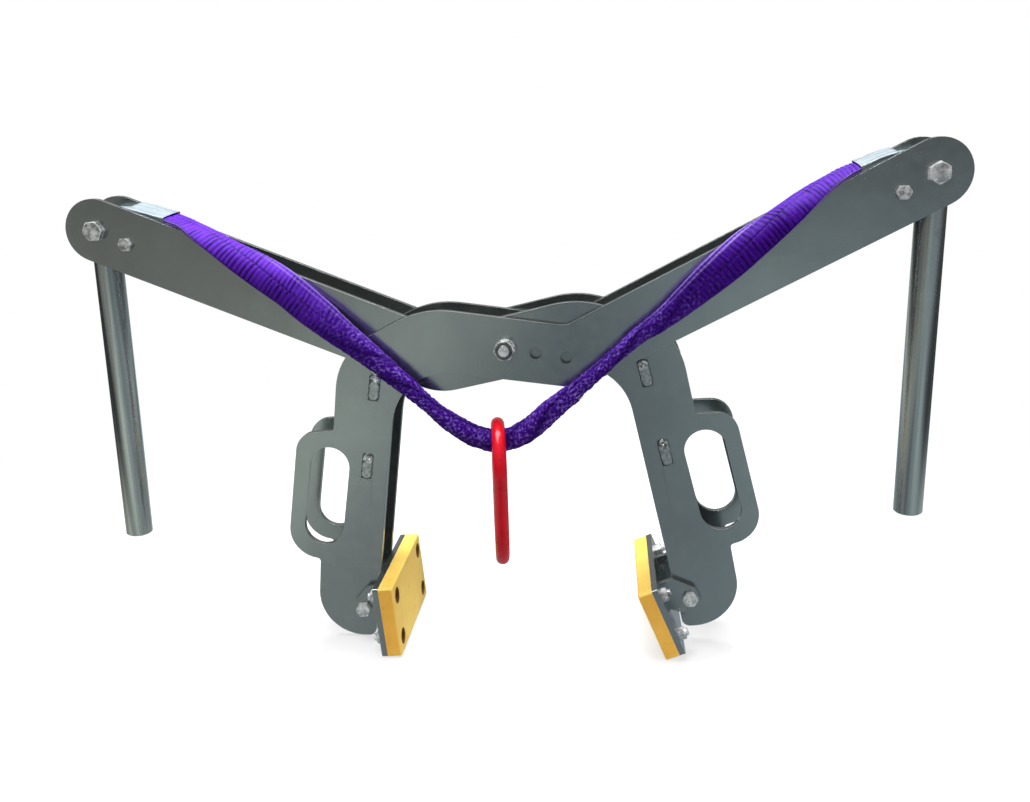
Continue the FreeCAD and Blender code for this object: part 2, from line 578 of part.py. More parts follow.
# ---------------------------------------------------------------- sling
# Route in the lever frame of the right lever, from the left spool to the right one.
ROUTE = [
    (-486.0, 4.25, 209.0), (-448.0, 2.0, 207.0), (-408.0, -14.0, 199.0), (-372.0, -34.0, 180.0), (-332.0, -48.0, 149.0),
    (-270.0, -51.0, 90.0), (-216.0, -55.0, 34.0), (-168.0, -57.5, -11.0), (-121.0, -58.5, -54.0),
    (-79.0, -58.5, -95.0), (-50.0, -58.5, -115.5), (-17.0, -58.5, -122.5), (14.0, -58.5, -119.0), (43.0, -58.5, -104.0),
    (81.0, -58.5, -69.0), (121.0, -58.0, -31.5), (176.0, -57.0, 15.0), (224.0, -55.5, 55.0), (272.0, -54.0, 90.0), (326.0, -53.0, 132.0),
    (374.0, -45.0, 177.0), (412.0, -22.0, 199.0), (450.0, -6.0, 208.0), (486.0, -4.25, 211.0),
]
SPLIT = (8, 13)  # the bight runs between the middles of the runs after these points
route = [V(*p) for p in ROUTE]


def tube(label, points, dia):
    edges, radii, last = [], [], points[0]
    for i in range(1, len(points) - 1):
        p0, p1, p2 = points[i - 1], points[i], points[i + 1]
        a, b = p0 - p1, p2 - p1
        short = min(a.Length, b.Length)
        a.normalize()
        b.normalize()
        half_turn = (math.pi - math.acos(max(-1, min(1, a.dot(b))))) / 2
        back = 0.45 * short
        r = back / math.tan(half_turn)
        bis = (a + b).normalize()
        s, e = p1 + a * back, p1 + b * back
        mid = p1 + bis * (r / math.cos(half_turn) - r)
        edges.append(Part.LineSegment(last, s).toShape())
        edges.append(Part.Arc(s, mid, e).toShape())
        radii.append(r)
        last = e
    edges.append(Part.LineSegment(last, points[-1]).toShape())
    wire = Part.Wire(edges)
    d = (points[1] - points[0]).normalize()
    ringw = Part.Wire([Part.Circle(points[0], d, dia / 2).toShape()])
    solid = wire.makePipeShell([ringw], True, False)
    print(label, "length %.1f" % wire.Length, "volume ratio %.4f" % (solid.Volume / (math.pi * dia * dia / 4 * wire.Length)), "radii", [round(r) for r in radii])
    o = doc.addObject("Part::Feature", name("sling"))
    o.Shape = solid
    keep(label, o)
    o.Placement = WORLD
    return o


def between(i):
    return (route[i] + route[i + 1]) * 0.5


def away(p, q, d):
    return p + (q - p).normalize() * d


ML, MR = between(SPLIT[0]), between(SPLIT[1])
tube("sling_left_run", route[: SPLIT[0] + 1] + [away(ML, route[SPLIT[0]], 0.1)], val("run_dia"))
tube("sling_bight", [away(ML, route[SPLIT[0] + 1], 0.1)] + route[SPLIT[0] + 1 : SPLIT[1] + 1] + [away(MR, route[SPLIT[1]], 0.1)], val("bight_dia"))
tube("sling_right_run", [away(MR, route[SPLIT[1] + 1], 0.1)] + route[SPLIT[1] + 1 :], val("run_dia"))

# sling eyes: a flat loop round each spool with a tongue that meets the run's end
for side in ("right", "left"):
    end = route[-1] if side == "right" else route[0]
    nxt = route[-2] if side == "right" else route[1]
    s = 1 if side == "right" else -1
    centre = V(s * val("arm_x"), s * MID, val("arm_z"))
    o = cylinder("%s / 2" % cell("eye_out"), cell("eye_wide"), centre - V(0, val("eye_wide") / 2, 0), V(0, 1, 0))
    run = (end - nxt).normalize()
    top = V(centre.x, centre.y, centre.z + val("eye_out") / 2 - 5.0)
    d = top - end
    d = V(d.x, 0, d.z)
    tongue = doc.addObject("Part::Box", name("tongue"))
    tongue.Length = d.Length
    tongue.setExpression("Width", cell("eye_wide"))
    tongue.Height = 9.5
    ang = math.degrees(math.atan2(d.z, d.x))
    tongue.Placement = PLC(V(end.x, centre.y, end.z), ROT(V(0, 1, 0), -ang)).multiply(PLC(V(0.1, -val("eye_wide") / 2, -4.75), ROT()))
    bore = cylinder("%s / 2 + 0.3" % cell("spool_dia"), cell("eye_wide") + " + 4", centre - V(0, val("eye_wide") / 2 + 2, 0), V(0, 1, 0))
    eye = keep("sling_%s_eye" % side, cut(fuse([o, tongue]), bore))
    eye.Placement = WORLD

# ---------------------------------------------------------------- master link
# Oblong link hanging upright on the bight, its plane nearly across the sling.
LW, LL, LD = val("link_wide"), val("link_long"), val("link_wire")
rad = (LW - LD) / 2
straight = (LL - LW) / 2
tops = []
for sgn in (1, -1):
    t_ = doc.addObject("Part::Torus", name("bow"))
    t_.setExpression("Radius1", "(%s - %s) / 2" % (cell("link_wide"), cell("link_wire")))
    t_.setExpression("Radius2", "%s / 2" % cell("link_wire"))
    t_.Angle3 = 180
    # torus plane turned into the y-z plane, half ring upward or downward
    t_.Placement = PLC(V(0, 0, sgn * straight), ROT(V(1, 0, 0), 0 if sgn > 0 else 180).multiply(ROT(V(0, 1, 0), 90).multiply(ROT(V(0, 0, 1), 90))))
    tops.append(t_)
for y in (-rad, rad):
    c = cylinder("%s / 2" % cell("link_wire"), "%s - %s" % (cell("link_long"), cell("link_wide")), V(0, y, -straight))
    tops.append(c)
link = keep("master_link", fuse(tops))
low = WORLD.multVec(V(-16.5, -58.5, -121.5))
hang = low.z + val("bight_dia") / 2 + 1.2 + LD - LL / 2
link.Placement = PLC(V(low.x, low.y, hang), ROT(V(0, 0, 1), val("link_yaw")))
print("link centre", link.Placement.Base, "swing axis at", low)

# ---------------------------------------------------------------- check and write
doc.recompute()
bad = [o.Name for o in doc.Objects if "Invalid" in o.State or "Error" in o.State]
if bad:
    raise RuntimeError("failed objects: %s" % bad)
total = None
for label, o in NODES:
    if o.Shape.isNull() or not o.Shape.isValid() or o.Shape.Volume < 1 or not o.Shape.Solids:
        raise RuntimeError("bad shape: %s" % label)
    b = o.Shape.BoundBox
    if not label.startswith(("sling_", "master_link")):
        if total is None:
            total = FreeCAD.BoundBox(b)
        else:
            total.add(b)
print("box without sling: x %.2f..%.2f y %.2f..%.2f z %.2f..%.2f" % (total.XMin, total.XMax, total.YMin, total.YMax, total.ZMin, total.ZMax))
for key in ("left_pad", "right_pad"):
    b = [o for l, o in NODES if l == key + "_block"][0].Shape.BoundBox
    c = [o for l, o in NODES if l == key + "_backing_plate"][0].Shape.BoundBox
    print(key, "lowest %.2f %.2f" % (b.ZMin, c.ZMin))
os.makedirs("parts", exist_ok=True)
for label, o in NODES:
    o.Shape.exportStep("parts/%s.step" % label)
print(len(NODES), "nodes")
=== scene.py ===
import bpy
import math
import numpy as np
from mathutils import Matrix, Vector


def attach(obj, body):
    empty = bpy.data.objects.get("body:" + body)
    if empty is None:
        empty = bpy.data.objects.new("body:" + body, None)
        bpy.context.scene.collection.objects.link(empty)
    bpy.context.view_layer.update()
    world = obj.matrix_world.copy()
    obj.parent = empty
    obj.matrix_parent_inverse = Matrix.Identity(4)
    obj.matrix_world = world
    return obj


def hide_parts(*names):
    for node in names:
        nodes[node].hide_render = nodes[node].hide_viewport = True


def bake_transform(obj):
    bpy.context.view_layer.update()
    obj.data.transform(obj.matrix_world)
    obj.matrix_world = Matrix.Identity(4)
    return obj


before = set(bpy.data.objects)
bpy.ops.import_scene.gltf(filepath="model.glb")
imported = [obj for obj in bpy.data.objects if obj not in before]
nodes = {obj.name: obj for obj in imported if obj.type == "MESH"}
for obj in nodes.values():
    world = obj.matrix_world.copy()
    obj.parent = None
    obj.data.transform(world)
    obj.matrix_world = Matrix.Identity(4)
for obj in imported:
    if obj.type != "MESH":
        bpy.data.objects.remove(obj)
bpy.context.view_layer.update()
scene = bpy.context.scene

# ------------------------------------------------------------------ the stance
# Lever frame (millimetres, origin on the main pivot) to the row frame (metres).
ROLL = math.radians(2.488)
CR, SR = math.cos(ROLL), math.sin(ROLL)


def turn(v):
    return Vector((v[0] * CR - v[2] * SR, v[1], v[0] * SR + v[2] * CR))


def stand(x, y, z):
    return Vector((x * CR - z * SR + 8.1, y, x * SR + z * CR + 420.16)) / 1000.0


# ------------------------------------------------------------------ camera
YAW, PITCH, TILT = 0.113659, 0.266535, -0.0760
fwd = Vector((-math.sin(YAW) * math.cos(PITCH), math.cos(YAW) * math.cos(PITCH), -math.sin(PITCH)))
right = Vector((math.cos(YAW), math.sin(YAW), 0.0))
up = right.cross(fwd)
r2 = right * math.cos(TILT) + up * math.sin(TILT)
u2 = up * math.cos(TILT) - right * math.sin(TILT)
fwd, r2, u2 = turn(fwd), turn(r2), turn(u2)
cam_data = bpy.data.cameras.new("camera")
cam = bpy.data.objects.new("camera", cam_data)
scene.collection.objects.link(cam)
cam_data.sensor_fit = "HORIZONTAL"
cam_data.sensor_width = 36.0
cam_data.lens = 926.17 / 1030.0 * 36.0
cam_data.clip_start, cam_data.clip_end = 0.02, 60.0
m = Matrix((r2, u2, -fwd)).transposed().to_4x4()
m.translation = stand(140.66, -1206.11, 249.23)
cam.matrix_world = m
scene.camera = cam


# ------------------------------------------------------------------ shader helpers
def lin(r, g, b):
    def f(c):
        c /= 255.0
        return c / 12.92 if c <= 0.04045 else ((c + 0.055) / 1.055) ** 2.4

    return (f(r), f(g), f(b), 1.0)


class Shader:
    def __init__(self, name):
        self.mat = bpy.data.materials.new(name)
        self.mat.use_nodes = True
        self.nt = self.mat.node_tree
        self.nt.nodes.clear()
        self.out = self.nt.nodes.new("ShaderNodeOutputMaterial")
        self.b = self.nt.nodes.new("ShaderNodeBsdfPrincipled")
        self.nt.links.new(self.b.outputs[0], self.out.inputs[0])

    def link(self, a, b):
        self.nt.links.new(a, b)

    def node(self, kind, **props):
        n = self.nt.nodes.new(kind)
        for k, v in props.items():
            setattr(n, k, v)
        return n

    def set(self, **values):
        for k, v in values.items():
            s = self.b.inputs[k.replace("_", " ")]
            if hasattr(v, "is_output"):
                self.link(v, s)
            else:
                s.default_value = v

    def coords(self, scale=(1, 1, 1), kind="Object", rot=(0, 0, 0)):
        t = self.node("ShaderNodeTexCoord")
        mp = self.node("ShaderNodeMapping")
        mp.inputs["Scale"].default_value = scale
        mp.inputs["Rotation"].default_value = rot
        self.link(t.outputs[kind], mp.inputs["Vector"])
        return mp.outputs[0]

    def noise(self, vec, scale, detail=3.0, rough=0.55, distort=0.0):
        n = self.node("ShaderNodeTexNoise")
        n.inputs["Scale"].default_value = scale
        n.inputs["Detail"].default_value = detail
        n.inputs["Roughness"].default_value = rough
        n.inputs["Distortion"].default_value = distort
        self.link(vec, n.inputs["Vector"])
        return n.outputs["Fac"]

    def voronoi(self, vec, scale):
        n = self.node("ShaderNodeTexVoronoi")
        n.inputs["Scale"].default_value = scale
        self.link(vec, n.inputs["Vector"])
        return n.outputs["Distance"]

    def attr(self, name):
        n = self.node("ShaderNodeAttribute")
        n.attribute_name = name
        return n.outputs["Fac"]

    def span(self, fac, lo, hi, to_lo=0.0, to_hi=1.0):
        n = self.node("ShaderNodeMapRange")
        n.inputs["From Min"].default_value = lo
        n.inputs["From Max"].default_value = hi
        n.inputs["To Min"].default_value = to_lo
        n.inputs["To Max"].default_value = to_hi
        self.link(fac, n.inputs["Value"])
        return n.outputs[0]

    def math(self, op, a, b):
        n = self.node("ShaderNodeMath", operation=op)
        for i, v in enumerate((a, b)):
            if hasattr(v, "is_output"):
                self.link(v, n.inputs[i])
            else:
                n.inputs[i].default_value = v
        return n.outputs[0]

    def mix(self, fac, a, b, mode="MIX"):
        n = self.node("ShaderNodeMix", data_type="RGBA", blend_type=mode)
        for key, v in ((0, fac), (6, a), (7, b)):
            if hasattr(v, "is_output"):
                self.link(v, n.inputs[key])
            else:
                n.inputs[key].default_value = v
        return n.outputs[2]

    def bump(self, height, strength, distance, normal=None):
        n = self.node("ShaderNodeBump")
        n.inputs["Strength"].default_value = strength
        n.inputs["Distance"].default_value = distance
        self.link(height, n.inputs["Height"])
        if normal is not None:
            self.link(normal, n.inputs["Normal"])
        return n.outputs[0]


def scaled(c, k):
    return (c[0] * k, c[1] * k, c[2] * k, 1.0)


def paint(name, base, rough=0.21, wear=0.14, metallic=0.91):
    """Grey satin finish: clouded tone, faint rubbed streaks, small light specks, orange peel."""
    s = Shader(name)
    v = s.coords()
    cloud = s.noise(v, 5.0, 4.0, 0.6, 0.4)
    fine = s.noise(v, 85.0, 4.0, 0.6)
    c = s.mix(s.span(cloud, 0.28, 0.72), scaled(base, 0.90), scaled(base, 1.10))
    c = s.mix(s.math("MULTIPLY", s.span(fine, 0.45, 0.75), 0.22), c, scaled(base, 1.30))
    streak = s.noise(s.coords((9, 60, 120), rot=(0.0, 0.45, 0.0)), 1.0, 5.0, 0.65)
    c = s.mix(s.math("MULTIPLY", s.span(streak, 0.62, 0.74), 0.22), c, scaled(base, 1.45))
    spot = s.noise(v, 62.0, 6.0, 0.75)
    rub = s.span(spot, 0.70, 0.74)
    c = s.mix(s.math("MULTIPLY", rub, wear), c, (min(base[0] * 2.1, 0.9), min(base[1] * 2.1, 0.9), min(base[2] * 2.1, 0.9), 1.0))
    smear = s.noise(v, 9.0, 3.0, 0.5)
    s.set(Base_Color=c, Metallic=metallic, IOR=1.5)
    s.set(Roughness=s.math("ADD", s.span(smear, 0.3, 0.7, rough - 0.04, rough + 0.05), s.span(fine, 0.3, 0.7, -0.02, 0.04)))
    peel = s.noise(v, 380.0, 2.0, 0.5)
    wave = s.noise(v, 26.0, 2.0, 0.5)
    s.set(Normal=s.bump(peel, 0.07, 0.0005, s.bump(wave, 0.05, 0.004)))
    return s.mat


def metal(name, base, rough, streak=None, tint=None, bumpy=0.08, low=0.72, scale=60.0, metallic=1.0):
    s = Shader(name)
    v = s.coords(streak or (1, 1, 1))
    n1 = s.noise(v, scale if streak is None else 1.0, 4.0, 0.6)
    n2 = s.noise(s.coords(), 200.0 if bumpy > 0.2 else 240.0, 3.0, 0.6)
    c = s.mix(s.span(n1, 0.36, 0.64), scaled(base, low), scaled(base, 1.15))
    if tint:
        c = s.mix(s.math("MULTIPLY", s.span(s.noise(s.coords(), 38.0), 0.45, 0.7), 0.5), c, tint)
    s.set(Base_Color=c, Metallic=metallic, Roughness=s.span(n1, 0.25, 0.75, rough - 0.08, rough + 0.12))
    s.set(Normal=s.bump(n2, bumpy, 0.0012 if bumpy > 0.2 else 0.0004))
    return s.mat


def tube_steel():
    """Drawn tube, waxy grey: lengthwise drawing marks, darker lengthwise streaks, faint cross bands and stains."""
    s = Shader("tube_steel")
    fine = s.noise(s.coords((300, 300, 1.4)), 1.0, 4.0, 0.6)
    wide = s.noise(s.coords((70, 70, 0.7)), 1.0, 3.0, 0.55)
    band = s.noise(s.coords((2, 2, 26)), 1.0, 4.0, 0.6)
    stain = s.noise(s.coords(), 17.0, 6.0, 0.7)
    base = (0.44, 0.475, 0.46, 1.0)
    c = s.mix(s.span(fine, 0.3, 0.7), scaled(base, 0.78), scaled(base, 1.14))
    c = s.mix(s.math("MULTIPLY", s.span(wide, 0.47, 0.62), 0.75), c, scaled(base, 0.40))
    c = s.mix(s.math("MULTIPLY", s.span(band, 0.60, 0.72), 0.22), c, scaled(base, 1.35))
    c = s.mix(s.math("MULTIPLY", s.span(stain, 0.60, 0.74), 0.4), c, (0.20, 0.19, 0.165, 1.0))
    s.set(Base_Color=c, Metallic=0.92, Roughness=s.span(fine, 0.3, 0.7, 0.20, 0.32))
    s.set(Normal=s.bump(fine, 0.10, 0.0004))
    return s.mat


def weld_metal():
    """Plug weld under the same grey: bare and bright only on its high spots, dark in its pits and along a painted
    shadow round its rim.
    """
    s = Shader("weld_metal")
    v = s.coords()
    n = s.noise(v, 130.0, 4.0, 0.6)
    bare = s.attr("bare")
    c = s.mix(s.span(n, 0.3, 0.7), scaled(GREY, 0.85), scaled(GREY, 1.15))
    c = s.mix(bare, c, (0.82, 0.85, 0.85, 1.0))
    # the pit mask darkens real pits and paints a shadow line round the bead's rim, heavier on its shaded side
    c = s.mix(s.math("MULTIPLY", s.attr("pit_and_shadow"), 0.8), c, (0.05, 0.055, 0.06, 1.0))
    s.set(Base_Color=c, Metallic=0.85, Roughness=s.span(n, 0.3, 0.7, 0.16, 0.30))
    s.set(Normal=s.bump(s.noise(v, 520.0, 3.0), 0.2, 0.0006))
    return s.mat


GREY = (0.27, 0.297, 0.292, 1.0)
M_GREY = paint("grey_paint", GREY)
# lighter, rougher paint for the bevelled edges: partly real edge wear, partly a painted highlight along every edge
M_EDGE_WEAR_GLINT = paint("grey_paint_edge_wear_glint", (0.56, 0.60, 0.60, 1.0), rough=0.40, wear=0.1, metallic=0.65)
M_ZINC = metal("zinc", (0.84, 0.868, 0.862, 1), 0.25, tint=(0.70, 0.72, 0.68, 1), bumpy=0.6, low=0.14, scale=105.0, metallic=0.40)
# dark zinc for painted shade: the nuts' flat faces and the pivot bolt's thread
M_ZINC_SHADE = metal("zinc_painted_shade", (0.17, 0.18, 0.18, 1), 0.3, bumpy=0.1, low=0.6, scale=160.0, metallic=0.9)
M_ZINC_END = metal("zinc_end", (0.85, 0.868, 0.868, 1), 0.24, bumpy=0.3, low=0.6, scale=150.0, metallic=0.7)
M_ZINC_PALE = metal("zinc_pale", (0.85, 0.868, 0.868, 1), 0.25, tint=(0.70, 0.72, 0.70, 1), bumpy=0.6, low=0.36, scale=105.0, metallic=0.36)
# lighter zinc for a painted highlight on the bolts' chamfers
M_ZINC_GLINT = metal("zinc_rim_painted_highlight", (0.85, 0.868, 0.868, 1), 0.25, bumpy=0.3, low=0.62, scale=150.0, metallic=0.35)
M_WELD = weld_metal()
M_TUBE = tube_steel()
M_BUSH = metal("turned_steel", (0.45, 0.46, 0.48, 1), 0.34)


def yellow(name, deep, light):
    s = Shader(name)
    v = s.coords()
    cloud = s.noise(v, 16.0, 4.0, 0.6)
    grime = s.noise(v, 55.0, 6.0, 0.68)
    streak = s.noise(s.coords((40, 40, 7)), 1.0, 4.0, 0.6)
    c = s.mix(s.span(cloud, 0.3, 0.7), deep, light)
    c = s.mix(s.math("MULTIPLY", s.span(streak, 0.55, 0.75), 0.3), c, lin(220, 170, 76))
    c = s.mix(s.math("MULTIPLY", s.span(grime, 0.58, 0.74), 0.35), c, lin(176, 130, 58))
    s.set(Base_Color=c, Roughness=s.span(cloud, 0.3, 0.7, 0.36, 0.52), IOR=1.48)
    s.b.inputs["Subsurface Weight"].default_value = 0.12
    s.b.inputs["Subsurface Radius"].default_value = (0.006, 0.003, 0.001)
    s.set(Normal=s.bump(s.noise(v, 300.0, 3.0), 0.14, 0.0005))
    return s.mat


def red():
    s = Shader("link_red")
    v = s.coords()
    n = s.noise(v, 40.0, 4.0, 0.6)
    chip = s.noise(v, 150.0, 5.0, 0.7)
    c = s.mix(s.span(n, 0.3, 0.7), lin(198, 6, 28), lin(222, 12, 38))
    c = s.mix(s.math("MULTIPLY", s.span(chip, 0.70, 0.74), 0.6), c, lin(110, 14, 22))
    s.set(Base_Color=c, Roughness=s.span(n, 0.3, 0.7, 0.24, 0.36), IOR=1.42)
    s.b.inputs["Specular IOR Level"].default_value = 0.2
    s.b.inputs["Coat Weight"].default_value = 0.4
    s.b.inputs["Coat Roughness"].default_value = 0.1
    s.set(Normal=s.bump(s.noise(v, 90.0, 3.0), 0.12, 0.0008))
    return s.mat


def webbing():
    """Woven polyester: bands of weft threads across, finer warp along, painted shade in the valleys, painted light
    towards the ends, light worn threads.
    """
    s = Shader("sling_webbing")
    uv = s.coords((1, 1, 1), "UV")
    weft = s.node("ShaderNodeTexWave", wave_type="BANDS", bands_direction="X")
    weft.inputs["Scale"].default_value = 14.5
    weft.inputs["Distortion"].default_value = 1.2
    weft.inputs["Detail"].default_value = 2.0
    s.link(uv, weft.inputs["Vector"])
    warp = s.node("ShaderNodeTexWave", wave_type="BANDS", bands_direction="Y")
    warp.inputs["Scale"].default_value = 24.0
    warp.inputs["Distortion"].default_value = 1.0
    s.link(uv, warp.inputs["Vector"])
    n = s.noise(s.coords((70, 14, 1), "UV"), 1.0, 4.0, 0.6)
    c = s.mix(s.span(n, 0.3, 0.7), lin(58, 6, 132), lin(94, 20, 192))
    # painted light: a lighter, fuller violet towards the strip's ends, more on the left
    c = s.mix(s.math("MULTIPLY", s.attr("painted_light"), 0.58), c, lin(124, 54, 238))
    long = s.noise(s.coords((4, 55, 1), "UV"), 1.0, 3.0, 0.6)
    c = s.mix(s.math("MULTIPLY", s.span(long, 0.55, 0.70), 0.35), c, lin(48, 8, 104))
    thread = s.noise(s.coords((62, 9, 1), "UV"), 1.0, 5.0, 0.7)
    c = s.mix(s.math("MULTIPLY", s.span(thread, 0.55, 0.72), 0.45), c, lin(138, 76, 232))
    c = s.mix(s.math("MULTIPLY", s.span(weft.outputs["Fac"], 0.55, 0.05), 0.30), c, lin(46, 14, 112))
    # painted shade: rib valleys and the rope's creases are darkened
    c = s.mix(s.attr("groove_shade"), c, lin(20, 2, 56))
    # the seam mask is the real middle seam and ply gap plus a painted shadow along the strip's lower rim
    c = s.mix(s.attr("seam"), c, lin(18, 4, 46))
    edge = s.noise(s.coords((330, 30, 1), "UV"), 1.0, 3.0, 0.6)
    c = s.mix(s.math("MULTIPLY", s.attr("edge"), s.span(edge, 0.36, 0.58, 0.20, 0.85)), c, lin(186, 158, 248))
    fleck = s.noise(s.coords((54, 25, 1), "UV", rot=(0, 0, 0.5)), 1.0, 4.0, 0.65)
    pale = s.math("MULTIPLY", s.span(fleck, 0.56, 0.66), s.math("MULTIPLY", s.attr("rope"), 0.55))
    c = s.mix(pale, c, lin(150, 112, 232))
    c = s.mix(s.math("MULTIPLY", s.attr("rope"), 0.55), c, lin(36, 12, 86))
    c = s.mix(s.math("MULTIPLY", s.attr("dash"), 0.70), c, lin(150, 118, 222))
    s.set(Base_Color=c, Roughness=0.5, IOR=1.4)
    s.b.inputs["Specular IOR Level"].default_value = 0.10
    h = s.math("ADD", s.math("MULTIPLY", weft.outputs["Fac"], 0.7), s.math("MULTIPLY", warp.outputs["Fac"], 0.35))
    s.set(Normal=s.bump(h, 0.45, 0.0007))
    return s.mat


def sleeve_white():
    """Clear protective sleeve: pale, slightly blue, glossy, with soft wrinkles."""
    s = Shader("sleeve_white")
    uv = s.coords((3, 9, 1), "UV")
    n = s.noise(uv, 1.0, 1.0, 0.4)
    c = s.mix(s.span(n, 0.3, 0.7), lin(137, 150, 157), lin(150, 162, 168))
    c = s.mix(s.math("MULTIPLY", s.span(s.noise(s.coords((2, 4, 1), "UV"), 1.0, 1.0, 0.4), 0.48, 0.70), 0.25), c, lin(122, 136, 145))
    s.set(Base_Color=c, Roughness=s.span(n, 0.3, 0.7, 0.22, 0.40), IOR=1.46)
    s.b.inputs["Subsurface Weight"].default_value = 0.15
    s.b.inputs["Subsurface Radius"].default_value = (0.003, 0.003, 0.003)
    s.set(Normal=s.bump(s.noise(s.coords((4, 9, 1), "UV"), 1.0, 1.0, 0.4), 0.30, 0.003))
    return s.mat


# dark brown for the walls of the pads' screw recesses: painted shade
def recess_shade():
    s = Shader("pad_recess_shade")
    n = s.noise(s.coords(), 120.0, 5.0, 0.65)
    s.set(Base_Color=s.mix(s.span(n, 0.3, 0.7), lin(92, 60, 18), lin(150, 108, 40)), Roughness=0.6)
    s.set(Normal=s.bump(n, 0.2, 0.0005))
    return s.mat


M_YELLOW = yellow("pad_yellow", lin(242, 198, 86), lin(252, 220, 112))
M_YELLOW_SIDES = yellow("pad_yellow_sides", lin(240, 178, 58), lin(250, 196, 78))
M_RED, M_WEB, M_SLEEVE, M_RECESS_SHADE = red(), webbing(), sleeve_white(), recess_shade()


# ------------------------------------------------------------------ skins over rings of points
def skin(name, rings, u, v, caps=(True, True)):
    """Closes rings (n, m, 3) into a tube. u (n,) and v (n, m) are its map, ten units to the metre."""
    n, m_, _ = rings.shape
    i = np.arange(n - 1)[:, None]
    j = np.arange(m_)[None, :]
    j2 = (j + 1) % m_
    faces = np.stack([i * m_ + j, i * m_ + j2, (i + 1) * m_ + j2, (i + 1) * m_ + j], axis=-1).reshape(-1, 4).tolist()
    faces = [tuple(f) for f in faces]
    if caps[0]:
        faces.append(tuple(range(m_ - 1, -1, -1)))
    if caps[1]:
        faces.append(tuple(range((n - 1) * m_, n * m_)))
    me = bpy.data.meshes.new(name)
    me.from_pydata(rings.reshape(-1, 3).tolist(), [], faces)
    me.validate()
    layer = me.uv_layers.new(name="UVMap")
    loop_v = np.zeros(len(me.loops), np.int32)
    me.loops.foreach_get("vertex_index", loop_v)
    uu = np.repeat(u, m_)
    layer.data.foreach_set("uv", np.stack([uu[loop_v], v.reshape(-1)[loop_v]], axis=1).astype(np.float32).ravel())
    me.polygons.foreach_set("use_smooth", np.ones(len(me.polygons), bool))
    ob = bpy.data.objects.new(name, me)
    scene.collection.objects.link(ob)
    return ob


def give(ob, name, values):
    a = ob.data.attributes.new(name, "FLOAT", "POINT")
    a.data.foreach_set("value", np.asarray(values, np.float32).ravel())


# One section's points: front face, lower edge, back face, upper edge.
FACE_N, BACK_N, EDGE_N = 45, 29, 9
E_ = (np.arange(EDGE_N) + 1.0) / (EDGE_N + 1.0)
SEC_U = np.concatenate([np.linspace(1, -1, FACE_N), np.full(EDGE_N, -1.0), np.linspace(-1, 1, BACK_N), np.full(EDGE_N, 1.0)])
SEC_E = np.concatenate([np.zeros(FACE_N), E_, np.ones(BACK_N), 1.0 - E_])
SEC_RIM = np.concatenate([np.zeros(FACE_N), np.ones(EDGE_N), np.zeros(BACK_N), np.ones(EDGE_N)])
SEC_PHI = np.radians(np.concatenate([np.linspace(20, 160, FACE_N), 160 + 40 * E_, np.linspace(200, 340, BACK_N), 340 + 40 * E_]))


def sections(path, w, half_w, half_t, bend, gather, offset=None, square=None):
    """Rings along path: a flat two-ply strip, arched by bend radians over its width, gathered to a round
    rope as gather goes to 1. offset(across) gives how far each point stands out, in metres. square tells how far
    each section is turned square to the path (0: it keeps its width direction)."""
    t = np.gradient(path, axis=0)
    t /= np.linalg.norm(t, axis=1)[:, None]
    k = 1.0 if square is None else square[:, None]
    w = w - k * t * np.sum(w * t, axis=1)[:, None]
    w /= np.linalg.norm(w, axis=1)[:, None]
    nn = np.cross(t, w)
    nn /= np.linalg.norm(nn, axis=1)[:, None]
    hw, ht, g = half_w[:, None], half_t[:, None], gather[:, None]
    rim = ht * 0.5
    fx = SEC_U[None, :] * (hw - rim + SEC_RIM[None, :] * rim * np.abs(np.sin(2 * np.pi * SEC_E))[None, :])
    fy = ht * np.cos(np.pi * SEC_E)[None, :]
    rx, ry = hw * np.cos(SEC_PHI)[None, :], ht * np.sin(SEC_PHI)[None, :]
    x, y = fx * (1 - g) + rx * g, fy * (1 - g) + ry * g
    nx = (SEC_U * np.sin(np.pi * SEC_E))[None, :] * (1 - g) + np.cos(SEC_PHI)[None, :] * g
    ny = np.cos(np.pi * SEC_E)[None, :] * (1 - g) + np.sin(SEC_PHI)[None, :] * g
    nl = np.sqrt(nx * nx + ny * ny)
    across = x / hw
    if offset is not None:
        off = offset(across)
        x, y = x + nx / nl * off, y + ny / nl * off
    k = np.maximum(bend, 1e-4)[:, None] / (2 * hw)
    bx = np.sin(k * x) / k + y * np.sin(k * x)
    by = -(1 - np.cos(k * x)) / k + y * np.cos(k * x)
    rings = path[:, None, :] + w[:, None, :] * bx[:, :, None] + nn[:, None, :] * by[:, :, None]
    v = (SEC_U[None, :] * (1 - g) + (0.5 * np.pi - SEC_PHI)[None, :] * g) * hw * 10.0 + (SEC_E > 0.5)[None, :] * 1.3
    return rings, v


# ------------------------------------------------------------------ the sling
ROUTE = [
    (-486.0, 4.25, 208.2), (-466.5, 4.2, 202.9), (-437.4, 2.8, 191.8), (-405.3, -14.0, 183.6), (-367.3, -29.6, 164.2), (-327.6, -40.1, 136.4),
    (-287.9, -48.0, 104.2), (-247.7, -50.5, 68.0), (-209.1, -55.1, 34.5), (-171.2, -57.4, 0.2), (-135.0, -58.4, -33.8), (-102.4, -58.5, -68.0),
    (-72.7, -58.5, -95.4), (-46.4, -58.5, -111.5), (-20.0, -58.5, -120.6), (5.0, -58.5, -116.2), (28.0, -58.5, -104.0), (53.7, -58.5, -82.4),
    (88.2, -58.5, -56.7), (124.2, -58.5, -28.1), (162.1, -58.0, 5.2), (203.0, -56.6, 30.6), (243.0, -56.5, 62.7), (283.7, -57.9, 94.6),
    (319.8, -52.2, 126.5), (355.6, -42.0, 155.7), (391.8, -29.2, 179.0), (423.7, -16.9, 190.8), (450.1, -6.3, 197.8), (469.8, -4.3, 206.4),
    (486.0, -4.25, 209.3),
]
